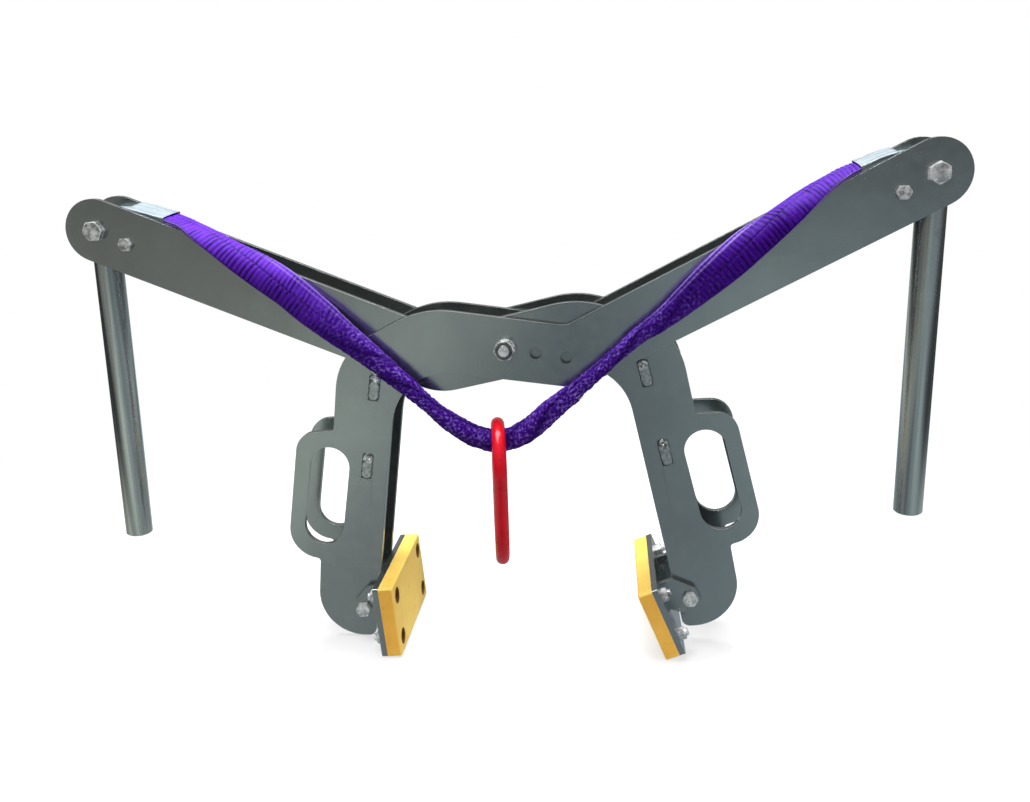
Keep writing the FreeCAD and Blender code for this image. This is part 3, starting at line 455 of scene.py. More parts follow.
curve = bpy.data.curves.new("sling_route", "CURVE")
curve.dimensions = "3D"
spline = curve.splines.new("NURBS")
spline.points.add(len(ROUTE) - 1)
for pt, co in zip(spline.points, ROUTE):
    pt.co = (*co, 1.0)
spline.order_u = 3
spline.use_endpoint_u = True
curve.resolution_u = 24
holder = bpy.data.objects.new("sling_route", curve)
scene.collection.objects.link(holder)
bpy.context.view_layer.update()
line = bpy.data.meshes.new_from_object(holder)
raw = np.array([v.co for v in line.vertices], float)
bpy.data.objects.remove(holder)
bpy.data.meshes.remove(line)
bpy.data.curves.remove(curve)
dist = np.r_[0, np.cumsum(np.linalg.norm(np.diff(raw, axis=0), axis=1))]
keep = np.r_[True, np.diff(dist) > 1e-6]
raw, dist = raw[keep], dist[keep]
S_MM = np.linspace(0, dist[-1], int(dist[-1] / 0.95))
mm = np.stack([np.interp(S_MM, dist, raw[:, k]) for k in range(3)], axis=1)

# x, width direction, half width, half thickness, arch over the width, how far it is gathered to a rope
KEYS = [
    (-486, (0.00, 0.99, 0.12), 23.0, 2.3, 0.05, 0.0),
    (-459, (0.00, 0.99, 0.12), 23.6, 2.3, 0.05, 0.0),
    (-434, (0.04, 0.99, 0.08), 24.2, 2.3, 0.15, 0.0),
    (-410, (-0.11, 0.99, 0.06), 24.6, 2.3, 0.45, 0.0),
    (-389, (-0.06, 0.97, 0.21), 24.4, 2.3, 1.00, 0.0),
    (-370, (0.01, 0.93, 0.36), 24.0, 2.3, 1.44, 0.0),
    (-347, (0.20, 0.85, 0.49), 24.0, 2.3, 1.75, 0.0),
    (-324, (0.40, 0.64, 0.65), 24.2, 2.3, 1.86, 0.0),
    (-300, (0.56, 0.39, 0.73), 24.2, 2.3, 1.66, 0.0),
    (-274, (0.65, 0.09, 0.76), 23.3, 3.4, 1.27, 0.06),
    (-249, (0.63, 0.23, 0.74), 22.2, 5.1, 0.90, 0.18),
    (-223, (0.66, 0.18, 0.73), 20.2, 7.5, 0.75, 0.40),
    (-198, (0.70, 0.14, 0.70), 17.4, 8.8, 0.60, 0.66),
    (-172, (0.69, 0.10, 0.72), 15.2, 9.8, 0.40, 0.86),
    (-147, (0.70, 0.06, 0.71), 13.9, 10.3, 0.20, 1.0),
    (-119, (0.72, 0.02, 0.69), 11.4, 10.4, 0.05, 1.0),
    (-100, (0.66, 0.00, 0.75), 10.3, 10.3, 0.0, 1.0),
    (-82, (0.62, 0.00, 0.78), 12.6, 11.3, 0.0, 1.0),
    (-62, (0.54, 0.00, 0.84), 14.3, 12.2, 0.0, 1.0),
    (-40, (0.40, 0.00, 0.91), 14.9, 12.6, 0.0, 1.0),
    (-17, (0.05, 0.00, 1.00), 14.4, 12.6, 0.0, 1.0),
    (8, (-0.35, 0.00, 0.94), 14.8, 12.6, 0.0, 1.0),
    (27, (-0.48, 0.00, 0.88), 14.6, 12.6, 0.0, 1.0),
    (55, (-0.62, 0.00, 0.78), 13.3, 12.2, 0.0, 1.0),
    (75, (-0.60, 0.00, 0.80), 11.8, 11.2, 0.0, 1.0),
    (95, (-0.60, 0.00, 0.80), 10.4, 10.0, 0.0, 1.0),
    (127, (-0.61, 0.00, 0.79), 9.3, 9.4, 0.0, 1.0),
    (153, (-0.58, -0.02, 0.81), 9.2, 9.2, 0.05, 0.95),
    (181, (-0.53, -0.08, 0.84), 11.6, 8.7, 0.20, 0.82),
    (206, (-0.56, -0.12, 0.82), 13.8, 8.0, 0.35, 0.62),
    (234, (-0.60, -0.10, 0.79), 17.6, 6.5, 0.50, 0.36),
    (261, (-0.59, -0.06, 0.80), 20.9, 4.25, 0.94, 0.14),
    (287, (-0.61, 0.10, 0.78), 22.9, 2.8, 1.29, 0.04),
    (313, (-0.60, 0.35, 0.72), 23.6, 2.3, 1.71, 0.0),
    (333, (-0.43, 0.63, 0.65), 23.9, 2.3, 2.05, 0.0),
    (356, (-0.26, 0.81, 0.52), 24.5, 2.3, 1.90, 0.0),
    (378, (-0.12, 0.93, 0.35), 24.5, 2.3, 1.40, 0.0),
    (404, (0.06, 0.98, 0.19), 24.4, 2.3, 0.91, 0.0),
    (427, (0.05, 0.99, 0.15), 24.2, 2.3, 0.27, 0.0),
    (444, (0.02, 0.99, 0.11), 23.4, 2.3, 0.12, 0.0),
    (466, (0.00, 0.99, 0.10), 22.5, 2.3, 0.05, 0.0),
    (486, (0.00, 0.99, 0.10), 22.5, 2.3, 0.05, 0.0),
]
kx = np.array([k[0] for k in KEYS], float)


def along(col):
    v = np.interp(mm[:, 0], kx, np.array([col(k) for k in KEYS], float))
    box = np.ones(25) / 25
    return np.convolve(np.pad(v, 12, mode="edge"), box, mode="valid")


def to_row(p):
    x, y, z = p[:, 0], p[:, 1], p[:, 2]
    return np.stack([x * CR - z * SR + 8.1, y, x * SR + z * CR + 420.16], axis=1) / 1000.0


def dir_row(p):
    x, y, z = p[:, 0], p[:, 1], p[:, 2]
    return np.stack([x * CR - z * SR, y, x * SR + z * CR], axis=1)


W_DIR = dir_row(np.stack([along(lambda k: k[1][0]), along(lambda k: k[1][1]), along(lambda k: k[1][2])], axis=1))
HALF_W, HALF_T = along(lambda k: k[2]) / 1000, along(lambda k: k[3]) / 1000
BEND, GATHER = along(lambda k: k[4]), along(lambda k: k[5])
# the tubular cover of the middle ends in a loose hem at x = 86
COVER_END = 86.0
cover = 1.0 / (1.0 + np.exp((mm[:, 0] - COVER_END) / 0.9)) * np.clip((mm[:, 0] + 20.0) / 90.0, 0, 1)
hem = np.exp(-(((mm[:, 0] - COVER_END + 2.2) / 1.8) ** 2))
HALF_W = HALF_W + (1.5 * cover + 0.7 * hem) / 1000
HALF_T = HALF_T + (1.5 * cover + 0.7 * hem) / 1000
PATH = to_row(mm)
SQUARE = np.clip((438.0 - np.abs(mm[:, 0])) / 60.0, 0, 1)
store = {}


def hash_noise(a, b, seed):
    """Smooth value noise in -1..1 on two coordinates."""
    r = np.random.default_rng(seed)
    tab = r.uniform(-1, 1, (64, 64))
    ia, ib = np.floor(a).astype(int), np.floor(b).astype(int)
    fa, fb = a - ia, b - ib
    fa, fb = fa * fa * (3 - 2 * fa), fb * fb * (3 - 2 * fb)
    g = lambda p, q: tab[p % 64, q % 64]
    return (g(ia, ib) * (1 - fa) + g(ia + 1, ib) * fa) * (1 - fb) + (g(ia, ib + 1) * (1 - fa) + g(ia + 1, ib + 1) * fa) * fb


def weave(across):
    """How far the cloth stands out: cross ribs on the flat strip, a stitched line along its middle, two plies
    at its rims, and a creased braid where it is gathered."""
    s = S_MM[:, None]
    g = GATHER[:, None]
    n, k = across.shape
    phi = np.broadcast_to(SEC_PHI[None, :], (n, k))
    back = (SEC_E > 0.5)[None, :]
    face = 1.0 - SEC_RIM[None, :]
    # ribs, each half of the strip with its own phase
    half = np.where(across > 0, 0.0, 2.6) + np.where(back, 1.7, 0.0)
    slant = 2.4 * np.abs(across) + 1.2 * across
    drift = 2.0 * hash_noise(s / 17.0 + 0 * across, np.where(across > 0, 3.0, 9.0) + 0 * s, 3)
    phase = (s + half + slant + drift) / 6.4
    rib = np.abs(np.sin(np.pi * phase)) ** 0.7
    mouth = np.clip((np.abs(mm[:, :1]) - 365.0) / 40.0, 0, 1)
    calm = 1.0 - 0.12 * mouth
    strength = np.clip(0.66 + 0.70 * hash_noise(s / 7.5 + 7, across * 1.6 + 20, 4), 0.08, 1.35)
    seam_on = 0.62 + 0.38 * np.sin(2 * np.pi * s / 5.2 + across)
    seam = np.exp(-(((across - 0.04) / (0.042 + 0.03 * mouth)) ** 2)) * (1 - g) ** 2 * face
    swell = 0.7 * hash_noise(s / 31.0, across * 1.4 + 11, 6)
    flat = (1.15 * strength * (rib - 0.55)) * (0.25 + 0.75 * face) - 0.70 * seam + swell * face
    # the gathered part: folds winding slowly round, a braid of threads over them
    tw = phi + s / 52.0 + 0.55 * np.sin(s / 33.0) + 0.22 * np.sin(phi - s / 15.0) * hash_noise(s / 7.0, 0 * phi + 5.5, 8)
    crease = 1.0 - np.abs(np.sin(1.5 * tw)) ** 0.45
    jig = 1.7 * hash_noise(s / 6.0, 32 * phi / np.pi, 9)
    a_ = np.cos(10 * tw + 2 * np.pi * s / 8.0 + jig)
    b_ = np.cos(10 * tw - 2 * np.pi * s / 11.0 - jig)
    braid = np.maximum(a_, b_)
    lump = hash_noise(s / 4.5, 32 * phi / np.pi / 4 + 2, 12)
    rope = 0.42 * (braid - 0.45) - 2.0 * crease**1.6 + 0.80 * lump + 0.45 * (rib - 0.5)
    open_ = np.clip((447.0 - np.abs(mm[:, :1])) / 8.0, 0, 1)
    flat = flat * (0.12 + 0.78 * open_) * np.where(back, 0.3, 1.0)
    off = (1 - g) * flat + g * rope
    # painted shade in the rib valleys and the gathered rope's creases
    store["groove_shade"] = np.clip((1 - g) * (1 - rib) ** 0.9 * (0.40 + 0.85 * strength) * calm * (0.4 + 0.6 * face) + g * np.clip(0.75 * crease + 0.30 * (0.75 - braid), 0, 1), 0, 1)
    mark = np.clip((np.where(a_ > b_, a_, 0.8 * b_) - 0.35) / 0.45, 0, 1)
    broken = np.clip(0.28 + 2.8 * hash_noise(s / 2.6, 32 * phi / np.pi / 1.7 + 9, 14), 0, 1)
    store["dash"] = g * mark * broken * np.clip(1.0 - 1.6 * crease, 0, 1)
    # painted shadow: a dark line along the strip's lower rim, added to the real middle seam and the dark gap between
    # the plies
    low = np.clip((-across - 0.86) / 0.10, 0, 1) * (1 - g) * 0.75
    store["seam"] = np.clip(low + seam * seam_on + (1 - g) * SEC_RIM[None, :] * np.exp(-(((SEC_E[None, :] - 0.5) / 0.12) ** 2)), 0, 1) * 0.9
    line = np.exp(-(((across - 0.72) / 0.045) ** 2)) + np.exp(-(((across - 0.95) / 0.055) ** 2))
    stitched = line * (1 - g) * face * np.where(mm[:, :1] < 0, 0.45, 1.0) * (SEC_E < 0.5)[None, :] * np.clip((s - 150.0) / 60.0, 0, 1) * np.clip((s[-1] - 150.0 - s) / 60.0, 0, 1)
    store["edge"] = 1.1 * stitched + np.broadcast_to((1 - g) * SEC_RIM[None, :] * np.abs(np.sin(2 * np.pi * SEC_E))[None, :], (n, k))
    store["rope"] = np.broadcast_to(0.15 + 0.85 * g, (n, k)) * np.clip(braid * g + (1 - g), 0, 1)
    # painted light: towards the ends, more so on the left, the cloth is painted a lighter, fuller violet
    lit_share = np.where(mm[:, :1] < 0, np.clip((-mm[:, :1] - 170.0) / 105.0, 0, 1), 0.5 * np.clip((mm[:, :1] - 340.0) / 60.0, 0, 1))
    store["painted_light"] = np.broadcast_to((1 - g) * lit_share, (n, k))
    return off / 1000.0


rings, vmap = sections(PATH, W_DIR, HALF_W, HALF_T, BEND, GATHER, weave, SQUARE)
sling = skin("sling", rings, S_MM / 100.0, vmap)
for key in ("groove_shade", "seam", "edge", "rope", "dash", "painted_light"):
    give(sling, key, store[key])
sling.data.materials.append(M_WEB)


# the loose hem's thread ends
def thread_ends():
    r = np.random.default_rng(21)
    at = int(np.argmin(np.abs(mm[:, 0] - COVER_END)))
    base = PATH[at]
    t = PATH[at + 3] - PATH[at - 3]
    t /= np.linalg.norm(t)
    w = W_DIR[at] - t * np.dot(W_DIR[at], t)
    w /= np.linalg.norm(w)
    nn = np.cross(t, w)
    verts, faces = [], []
    for k in range(15):
        ang = math.radians(r.uniform(5, 150)) if k < 10 else math.radians(r.uniform(0, 360))
        out = w * math.cos(ang) + nn * math.sin(ang)
        side = np.cross(t, out)
        size = r.uniform(0.6, 1.0)
        rad = 0.00038 * size
        reach, lift, sway = r.uniform(3.5, 9.0), r.uniform(0.1, 0.9), r.uniform(-0.9, 0.9)
        start = base + out * 0.0121 - t * r.uniform(0.0, 0.003)
        for i in range(7):
            f = i / 6.0
            p = start + t * (reach * f) / 1000 + out * (lift * math.sin(f * 2.2)) / 1000 + side * (sway * f * f) / 1000
            q = rad * (1.0 - 0.55 * f)
            for j in range(6):
                a = 2 * math.pi * j / 6
                verts.append(tuple(p + (out * math.cos(a) + side * math.sin(a)) * q))
        b0 = len(verts) - 42
        for i in range(6):
            for j in range(6):
                j2 = (j + 1) % 6
                faces.append((b0 + i * 6 + j, b0 + (i + 1) * 6 + j, b0 + (i + 1) * 6 + j2, b0 + i * 6 + j2))
        faces.append(tuple(b0 + j for j in range(6)))
        faces.append(tuple(b0 + 36 + j for j in range(5, -1, -1)))
    me = bpy.data.meshes.new("sling_thread_ends")
    me.from_pydata(verts, [], faces)
    me.polygons.foreach_set("use_smooth", np.ones(len(me.polygons), bool))
    ob = bpy.data.objects.new("sling_thread_ends", me)
    scene.collection.objects.link(ob)
    s = Shader("sling_thread")
    n = s.noise(s.coords(), 300.0, 3.0)
    s.set(Base_Color=s.mix(s.span(n, 0.3, 0.7), lin(168, 142, 216), lin(206, 190, 232)), Roughness=0.6)
    ob.data.materials.append(s.mat)
    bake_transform(ob)
    return ob


threads = thread_ends()


# ------------------------------------------------------------------ white end sleeves
def sleeve(side):
    s = 1.0 if side == "right" else -1.0
    ax, az, ym = 528.7, 184.3, -4.25 * s
    join = (467.0, 205.6) if side == "right" else (467.0, 203.0)
    rad = 25.4
    dx, dz = ax - join[0], az - join[1]
    d = math.hypot(dx, dz)
    base, half = math.atan2(dz, dx), math.asin(rad / d)
    reach = math.sqrt(d * d - rad * rad)
    lo, hi = base - half, base + half
    a0, a1 = lo - math.pi / 2, hi + math.pi / 2
    if a1 < a0:
        a1 += 2 * math.pi
    loop = [(join[0] + reach * f * math.cos(lo), join[1] + reach * f * math.sin(lo)) for f in np.linspace(0.12, 1, 16, endpoint=False)]
    loop += [(ax + rad * math.cos(a), az + rad * math.sin(a)) for a in np.linspace(a0, a1, 60)]
    loop += [(join[0] + reach * f * math.cos(hi), join[1] + reach * f * math.sin(hi)) for f in np.linspace(1, 0.30, 13)[1:]]
    pts = np.array([(s * x, ym, z) for x, z in loop])
    k = len(pts)
    f = np.linspace(0, 1, k)
    wide = np.tile(np.array([0.0, 1.0, 0.0]), (k, 1))
    pucker = lambda across: (0.30 * np.sin(across * 7.0 + 9.0 * f[:, None]) + 0.25 * np.sin(f[:, None] * 60.0 + across * 2.0)) / 1000
    rg, vm = sections(to_row(pts), dir_row(wide), np.full(k, 0.0224), np.full(k, 0.0026), np.full(k, 0.0), np.zeros(k), pucker)
    eye = skin("sling_%s_sleeve_eye" % side, rg, f * 2.0, vm)
    # the strap part: an open-ended sleeve round the sling's own strip, its mouth standing off
    end = 443.0 if side == "right" else 437.5
    own = np.where(mm[:, 0] * s > end)[0]
    if side == "right":
        own = own[::-1]
    own = own[::-1] if abs(mm[own[0], 0]) < abs(mm[own[-1], 0]) else own  # from the spool to the mouth
    k = len(own)
    f = np.linspace(0, 1, k)
    flare = np.clip((f - 0.55) / 0.45, 0, 1) ** 2
    ripple = 0.35 * np.sin(f * 17.0) + 0.25 * np.sin(f * 39.0 + 1.0)
    hw = HALF_W[own] + (1.0 + 0.6 * flare + 0.3 * ripple) / 1000
    ht = HALF_T[own] + (1.5 + 1.6 * flare + 0.35 * ripple) / 1000
    back = own[::-1][: k // 3]
    hw_in, ht_in = hw[::-1][: k // 3] - 0.0008, ht[::-1][: k // 3] - 0.0008
    order = np.argsort(own)
    rg_out, vm_out = sections(PATH[own][order], W_DIR[own][order], hw[order], ht[order], BEND[own][order], np.zeros(k), None, SQUARE[own][order])
    unorder = np.argsort(order)
    rg_out, vm_out = rg_out[unorder], vm_out[unorder]
    kin = len(back)
    order = np.argsort(back)
    rg_in, vm_in = sections(PATH[back][order], W_DIR[back][order], hw_in[order], ht_in[order], BEND[back][order], np.zeros(kin), None, SQUARE[back][order])
    unorder = np.argsort(order)
    rg_in, vm_in = rg_in[unorder], vm_in[unorder]
    tail = PATH[own[0]] - PATH[own[3]]
    rg_out[0] += tail / np.linalg.norm(tail) * 0.0025
    rg, vm = np.concatenate([rg_out, rg_in]), np.concatenate([vm_out, vm_in])
    if own[0] > own[-1]:
        rg, vm = rg[:, ::-1], vm[:, ::-1]
    strap = skin("sling_%s_sleeve" % side, rg, np.r_[f * 0.5, 0.5 + np.linspace(0, 0.17, kin)], vm, caps=(True, False))
    for o in (eye, strap):
        o.data.materials.append(M_SLEEVE)
        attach(o, "%s_lever" % side)
    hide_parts("sling_%s_eye" % side)
    return [eye, strap]


sleeves = sleeve("left") + sleeve("right")
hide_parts("sling_left_run", "sling_bight", "sling_right_run")
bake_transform(sling)


# ------------------------------------------------------------------ plug welds
def weld_lumps(side):
    """Plug welds under the paint: a long bead with a crater near its upper end, lying in the plate's slot."""
    verts, faces, bare, pit_and_shadow = [], [], [], []
    half = -1.0 if side == "left" else 1.0
    r = np.random.default_rng(3 if side == "left" else 8)
    lean = math.radians(11.6)
    e = np.array([-math.sin(lean), -math.cos(lean)])
    q = np.array([-e[1], e[0]])
    for cx, cz in ((-178.3, -43.8), (-200.6, -152.9)):
        for y, out in ((-41.25, -1.0), (32.75, 1.0)):
            p1, p2 = r.uniform(0, 6.28, 2)
            seed = int(r.integers(100, 900))
            nu, nv = 116, 58
            shady = 1.0 if half < 0 else -1.0
            start = len(verts)
            lu, lv = np.meshgrid(20.8 * np.linspace(-1, 1, nu), 9.8 * np.linspace(-1, 1, nv), indexing="ij")
            wob = 0.30 * np.sin(lu * 0.55 + p1) + 0.22 * np.sin(lu * 1.3 + p2)
            d = np.hypot(np.maximum(np.abs(lu) - 11.2, 0.0), lv) - (7.75 + wob)
            rise = np.clip(-d / 2.6, 0, 1)
            n1 = hash_noise(lu / 3.4 + 3, lv / 2.7 + 7, seed)
            n2 = hash_noise(lu / 1.6 + 5, lv / 1.6 + 2, seed + 1)
            burst = np.clip((-lu - 4.5) / 6.5, 0, 1)  # the bead's rough upper end
            hgt = -0.4 + 2.5 * np.sqrt(rise * (2 - rise)) + rise * (burst * (1.25 * n1 + 0.55 * n2) + 0.22 * n1)
            hgt = np.where(d < 0, hgt, -0.6)
            ins = np.clip((-d - 0.7) / 0.8, 0, 1)
            bare += list(np.clip(ins * (burst * (0.45 + 0.9 * n1 + 0.3 * n2) + 0.12 + 0.12 * n1), 0, 1).ravel())
            # painted shadow: a dark outline round the bead's rim, heavier on one side, as if the light came from the
            # other
            shade = 0.5 + 0.5 * np.tanh((lv * shady + 0.35 * (lu - 6.0)) / 4.0)
            rim = (0.25 + 0.75 * shade) * np.exp(-((np.minimum(d + 1.1, 0.0) / 0.7) ** 2))
            pit_and_shadow += list(np.clip(rim + ins * burst * np.clip(-1.6 * n1 - 0.35, 0, 0.8), 0, 1).ravel())
            for a_, b_, h_ in zip(lu.ravel(), lv.ravel(), hgt.ravel()):
                p = np.array([cx, cz]) + e * a_ + q * b_
                verts.append(tuple(stand(half * p[0], half * (y + out * h_), p[1])))
            for i in range(nu - 1):
                for j in range(nv - 1):
                    k = start + i * nv + j
                    f = (k, k + 1, k + nv + 1, k + nv)
                    faces.append(f if out > 0 else f[::-1])
    me = bpy.data.meshes.new("%s_lever_weld_lumps" % side)
    me.from_pydata(verts, [], faces)
    me.polygons.foreach_set("use_smooth", np.ones(len(me.polygons), bool))
    ob = bpy.data.objects.new("%s_lever_weld_lumps" % side, me)
    scene.collection.objects.link(ob)
    give(ob, "bare", np.clip(bare, 0, 1))
    give(ob, "pit_and_shadow", np.clip(pit_and_shadow, 0, 1))
    ob.data.materials.append(M_WELD)
    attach(ob, "%s_lever" % side)
    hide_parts("%s_lever_plug_welds" % side)


weld_lumps("left")
weld_lumps("right")


# ------------------------------------------------------------------ finish of the CAD pieces
def finish_of(name):
    if name == "master_link":
        return M_RED, None, 0.0
    if name.endswith("_block"):
        return M_YELLOW, None, 0.0024
    if name.endswith(("handle_tube", "tube_cap")):
        return M_TUBE, None, 0.0004
    if name.endswith(("spool", "bush", "small_spacer")):
        return M_BUSH, None, 0.0004
    if name == "main_pivot_bolt":
        return M_ZINC_END, M_ZINC_SHADE, 0.0004
    if name == "right_end_bolt":
        return M_ZINC_PALE, M_ZINC_GLINT, 0.0004
    if name.endswith("bolt"):
        return M_ZINC, M_ZINC_GLINT, 0.0004
    if name.endswith("nut"):
        return M_ZINC, M_ZINC_SHADE, 0.0004
    if name.endswith(("nuts", "screws", "washers")):
        return M_ZINC, None, 0.0004
    return M_GREY, M_EDGE_WEAR_GLINT, 0.0006


for name, ob in nodes.items():
    base, edge, width = finish_of(name)
    ob.data.materials.clear()
    ob.data.materials.append(base)
    if edge is not None:
        ob.data.materials.append(edge)
    if edge in (M_ZINC_SHADE, M_ZINC_GLINT):
        # painted light on the fasteners, on the thread and chamfers round the bright faces: the bolts' chamfers take a
        # lighter painted highlight, the nuts' flat faces and the pivot bolt's thread a dark painted shade, so the
        # pivot nut's own face lies dark round the bolt's end
        for q in ob.data.polygons:
            ny = abs(q.normal.y)
            if name == "main_pivot_bolt":
                painted_band = ny < 0.8
            elif name.endswith("_nut"):
                painted_band = ny > 0.97
            else:
                painted_band = 0.8 < ny < 0.97
            q.material_index = 1 if painted_band else 0
    if name.endswith("_block"):
        # the walls of the screw recesses take a dark brown painted shade, the front and rear sides a deeper yellow
        ob.data.materials.append(M_RECESS_SHADE)
        ob.data.materials.append(M_YELLOW_SIDES)
        polys = ob.data.polygons
        total = {}
        for q in polys:
            key_ = tuple(round(v, 1) for v in q.normal)
            total[key_] = total.get(key_, 0.0) + q.area
        flat_n = Vector(max(total, key=total.get)).normalized()
        up_n = flat_n.cross(Vector((0, 1, 0))).normalized()
        spread = [sorted(v.co.dot(d) for v in ob.data.vertices) for d in (up_n, Vector((0, 1, 0)))]
        for q in polys:
            place = (q.center.dot(up_n), q.center.y)
            inner = all(s_[0] + 0.007 < a_ < s_[-1] - 0.007 for a_, s_ in zip(place, spread))
            # the front and rear faces, picked by their direction, take the deeper yellow
            side_slot = 2 if abs(q.normal.y) > 0.9 else 0
            q.material_index = 1 if inner and abs(q.normal.dot(flat_n)) < 0.3 else side_slot
    w = ob.modifiers.new("weld", "WELD")
    w.merge_threshold = 0.00002
    if width > 0:
        b = ob.modifiers.new("edges", "BEVEL")
        b.width = width
        b.segments = 4 if name.endswith("_block") else 2
        b.limit_method = "ANGLE"
        b.angle_limit = math.radians(38)
        b.use_clamp_overlap = True
        # the bevel faces take the lighter edge paint: real edge wear with a painted edge highlight
        if edge is M_EDGE_WEAR_GLINT:
            b.material = 1
    n = ob.modifiers.new("normals", "WEIGHTED_NORMAL")
    n.keep_sharp = False

# ------------------------------------------------------------------ floor and light
bpy.ops.mesh.primitive_plane_add(size=30, location=(0, 0, -0.0005))
floor = bpy.context.object
floor.name = "floor"
fm = bpy.data.materials.new("floor")
fm.use_nodes = True
ft = fm.node_tree
pale = ft.nodes["Principled BSDF"]
pale.inputs["Base Color"].default_value = (0.93, 0.93, 0.93, 1.0)
pale.inputs["Roughness"].default_value = 0.9
dim = ft.nodes.new("ShaderNodeBsdfDiffuse")
spots = []
for px in (-0.13, 0.19):
    c_ = ft.nodes.new("ShaderNodeTexCoord")
    d_ = ft.nodes.new("ShaderNodeVectorMath")
    d_.operation = "DISTANCE"
    d_.inputs[1].default_value = (px, -0.13, 0.0)
    e_ = ft.nodes.new("ShaderNodeMapRange")
    e_.interpolation_type = "SMOOTHSTEP"
    e_.inputs["From Min"].default_value = 0.10
    e_.inputs["From Max"].default_value = 0.30
    e_.inputs["To Min"].default_value = 0.62
    e_.inputs["To Max"].default_value = 0.03
    ft.links.new(c_.outputs["Object"], d_.inputs[0])
    ft.links.new(d_.outputs["Value"], e_.inputs["Value"])
    spots.append(e_)
most = ft.nodes.new("ShaderNodeMath")
most.operation = "MAXIMUM"
ft.links.new(spots[0].outputs[0], most.inputs[0])
ft.links.new(spots[1].outputs[0], most.inputs[1])
ft.links.new(most.outputs[0], dim.inputs["Color"])
ways = ft.nodes.new("ShaderNodeLightPath")
pick = ft.nodes.new("ShaderNodeMixShader")
ft.links.new(ways.outputs["Is Camera Ray"], pick.inputs[0])
shine = ft.nodes.new("ShaderNodeEmission")
fp = ft.nodes.new("ShaderNodeTexCoord")
fx = ft.nodes.new("ShaderNodeSeparateXYZ")
fs = ft.nodes.new("ShaderNodeMapRange")
fs.inputs["From Min"].default_value = -4.0
fs.inputs["From Max"].default_value = 4.0
tones = ft.nodes.new("ShaderNodeValToRGB")
tones.color_ramp.interpolation = "EASE"
for at, colour in (
    (-3.6, (0.47, 0.465, 0.43)), (-1.85, (0.43, 0.42, 0.40)), (-1.2, (0.50, 0.51, 0.48)), (-0.55, (0.92, 1.0, 0.93)), (-0.3, (0.52, 0.565, 0.56)), (0.0, (0.23, 0.27, 0.31)),
    (0.3, (0.38, 0.44, 0.485)), (0.5, (0.56, 0.67, 0.70)), (0.94, (0.58, 0.66, 0.67)), (1.3, (0.42, 0.49, 0.53)), (2.6, (0.37, 0.43, 0.49)), (3.6, (0.36, 0.42, 0.48)),
):
    e = tones.color_ramp.elements.new((at + 4.0) / 8.0)
    e.color = (*colour, 1.0)
tones.color_ramp.elements.remove(tones.color_ramp.elements[0])
tones.color_ramp.elements.remove(tones.color_ramp.elements[-1])
ft.links.new(fp.outputs["Object"], fx.inputs[0])
ft.links.new(fx.outputs["X"], fs.inputs["Value"])
ft.links.new(fs.outputs[0], tones.inputs[0])
# dark to both sides, so that round pieces show dark flanks
side = ft.nodes.new("ShaderNodeMath")
side.operation = "ABSOLUTE"
wide = ft.nodes.new("ShaderNodeMapRange")
wide.inputs["From Min"].default_value = 1.1
wide.inputs["From Max"].default_value = 1.5
near = ft.nodes.new("ShaderNodeMapRange")
near.inputs["From Min"].default_value = -1.8
near.inputs["From Max"].default_value = -1.0
both = ft.nodes.new("ShaderNodeMath")
both.operation = "MULTIPLY"
deep = ft.nodes.new("ShaderNodeMix")
deep.data_type = "RGBA"
deep.inputs[7].default_value = (0.05, 0.055, 0.06, 1.0)
ft.links.new(fx.outputs["X"], side.inputs[0])
ft.links.new(side.outputs[0], wide.inputs["Value"])
ft.links.new(fx.outputs["Y"], near.inputs["Value"])
ft.links.new(wide.outputs[0], both.inputs[0])
ft.links.new(near.outputs[0], both.inputs[1])
ft.links.new(both.outputs[0], deep.inputs[0])
ft.links.new(tones.outputs[0], deep.inputs[6])
ft.links.new(deep.outputs[2], shine.inputs["Color"])
seen = ft.nodes.new("ShaderNodeMixShader")
ft.links.new(ways.outputs["Is Glossy Ray"], seen.inputs[0])
ft.links.new(dim.outputs[0], seen.inputs[1])
ft.links.new(shine.outputs[0], seen.inputs[2])
ft.links.new(seen.outputs[0], pick.inputs[1])
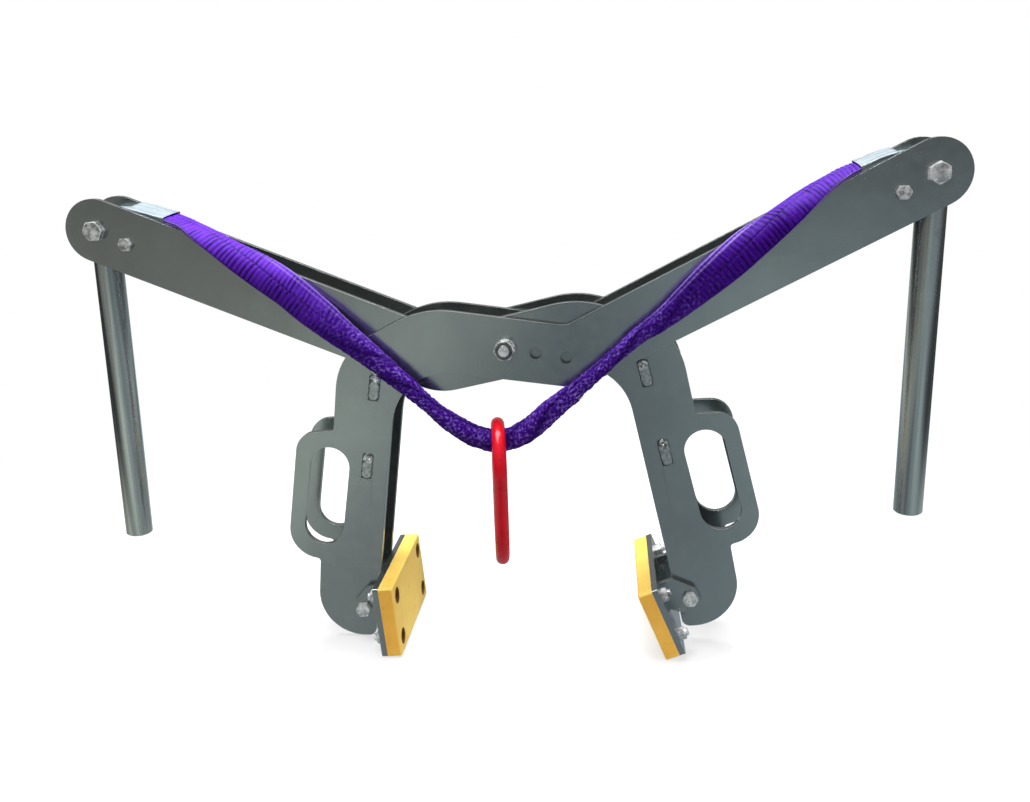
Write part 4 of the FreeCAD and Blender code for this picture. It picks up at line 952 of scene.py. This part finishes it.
# far from the object the floor runs into the white of the backdrop
fc = ft.nodes.new("ShaderNodeTexCoord")
fl = ft.nodes.new("ShaderNodeVectorMath")
fl.operation = "LENGTH"
fr = ft.nodes.new("ShaderNodeMapRange")
fr.interpolation_type = "SMOOTHSTEP"
fr.inputs["From Min"].default_value = 0.55
fr.inputs["From Max"].default_value = 1.5
fr.inputs["To Min"].default_value = 0.6
glow = ft.nodes.new("ShaderNodeEmission")
fade = ft.nodes.new("ShaderNodeMixShader")
ft.links.new(fc.outputs["Object"], fl.inputs[0])
ft.links.new(fl.outputs["Value"], fr.inputs["Value"])
ft.links.new(fr.outputs[0], fade.inputs[0])
ft.links.new(pale.outputs[0], fade.inputs[1])
ft.links.new(glow.outputs[0], fade.inputs[2])
ft.links.new(fade.outputs[0], pick.inputs[2])
ft.links.new(pick.outputs[0], ft.nodes["Material Output"].inputs[0])
floor.data.materials.append(fm)

# studio: white to the camera, brighter overhead than round the horizon for the light
world = bpy.data.worlds.new("studio")
scene.world = world
world.use_nodes = True
wt = world.node_tree
bg = wt.nodes["Background"]
bg.inputs[1].default_value = 1.0
tc = wt.nodes.new("ShaderNodeTexCoord")
sep = wt.nodes.new("ShaderNodeSeparateXYZ")
ramp = wt.nodes.new("ShaderNodeMapRange")
ramp.inputs["From Min"].default_value = -0.05
ramp.inputs["From Max"].default_value = 0.9
ramp.inputs["To Min"].default_value = 0.15
ramp.inputs["To Max"].default_value = 0.55
wp = wt.nodes.new("ShaderNodeLightPath")
wm = wt.nodes.new("ShaderNodeMix")
wm.data_type = "FLOAT"
wt.links.new(tc.outputs["Generated"], sep.inputs[0])
wt.links.new(sep.outputs["Z"], ramp.inputs["Value"])
wt.links.new(wp.outputs["Is Camera Ray"], wm.inputs[0])
wt.links.new(ramp.outputs[0], wm.inputs[2])
wm.inputs[3].default_value = 1.0
wt.links.new(wm.outputs[0], bg.inputs[0])


def area(name, place, aim, size, power, colour=(1, 1, 1)):
    d = bpy.data.lights.new(name, "AREA")
    d.shape = "RECTANGLE"
    d.size, d.size_y = size
    d.energy = power
    d.color = colour
    o = bpy.data.objects.new(name, d)
    scene.collection.objects.link(o)
    o.location = place
    o.rotation_mode = "QUATERNION"
    o.rotation_quaternion = (Vector(aim) - Vector(place)).to_track_quat("-Z", "Y")
    return o


area("top", (-0.2, 0.5, 2.7), (0, 0.3, 0.4), (2.6, 1.5), 150)
key = area("key", (-0.9, -2.2, 1.6), (0, 0, 0.3), (1.6, 1.4), 12)
fill = area("fill", (2.3, -0.6, 0.7), (-0.1, 0, 0.1), (1.0, 1.0), 18)
key.visible_glossy = fill.visible_glossy = False
scene.view_settings.view_transform = "Standard"
scene.view_settings.look = "None"
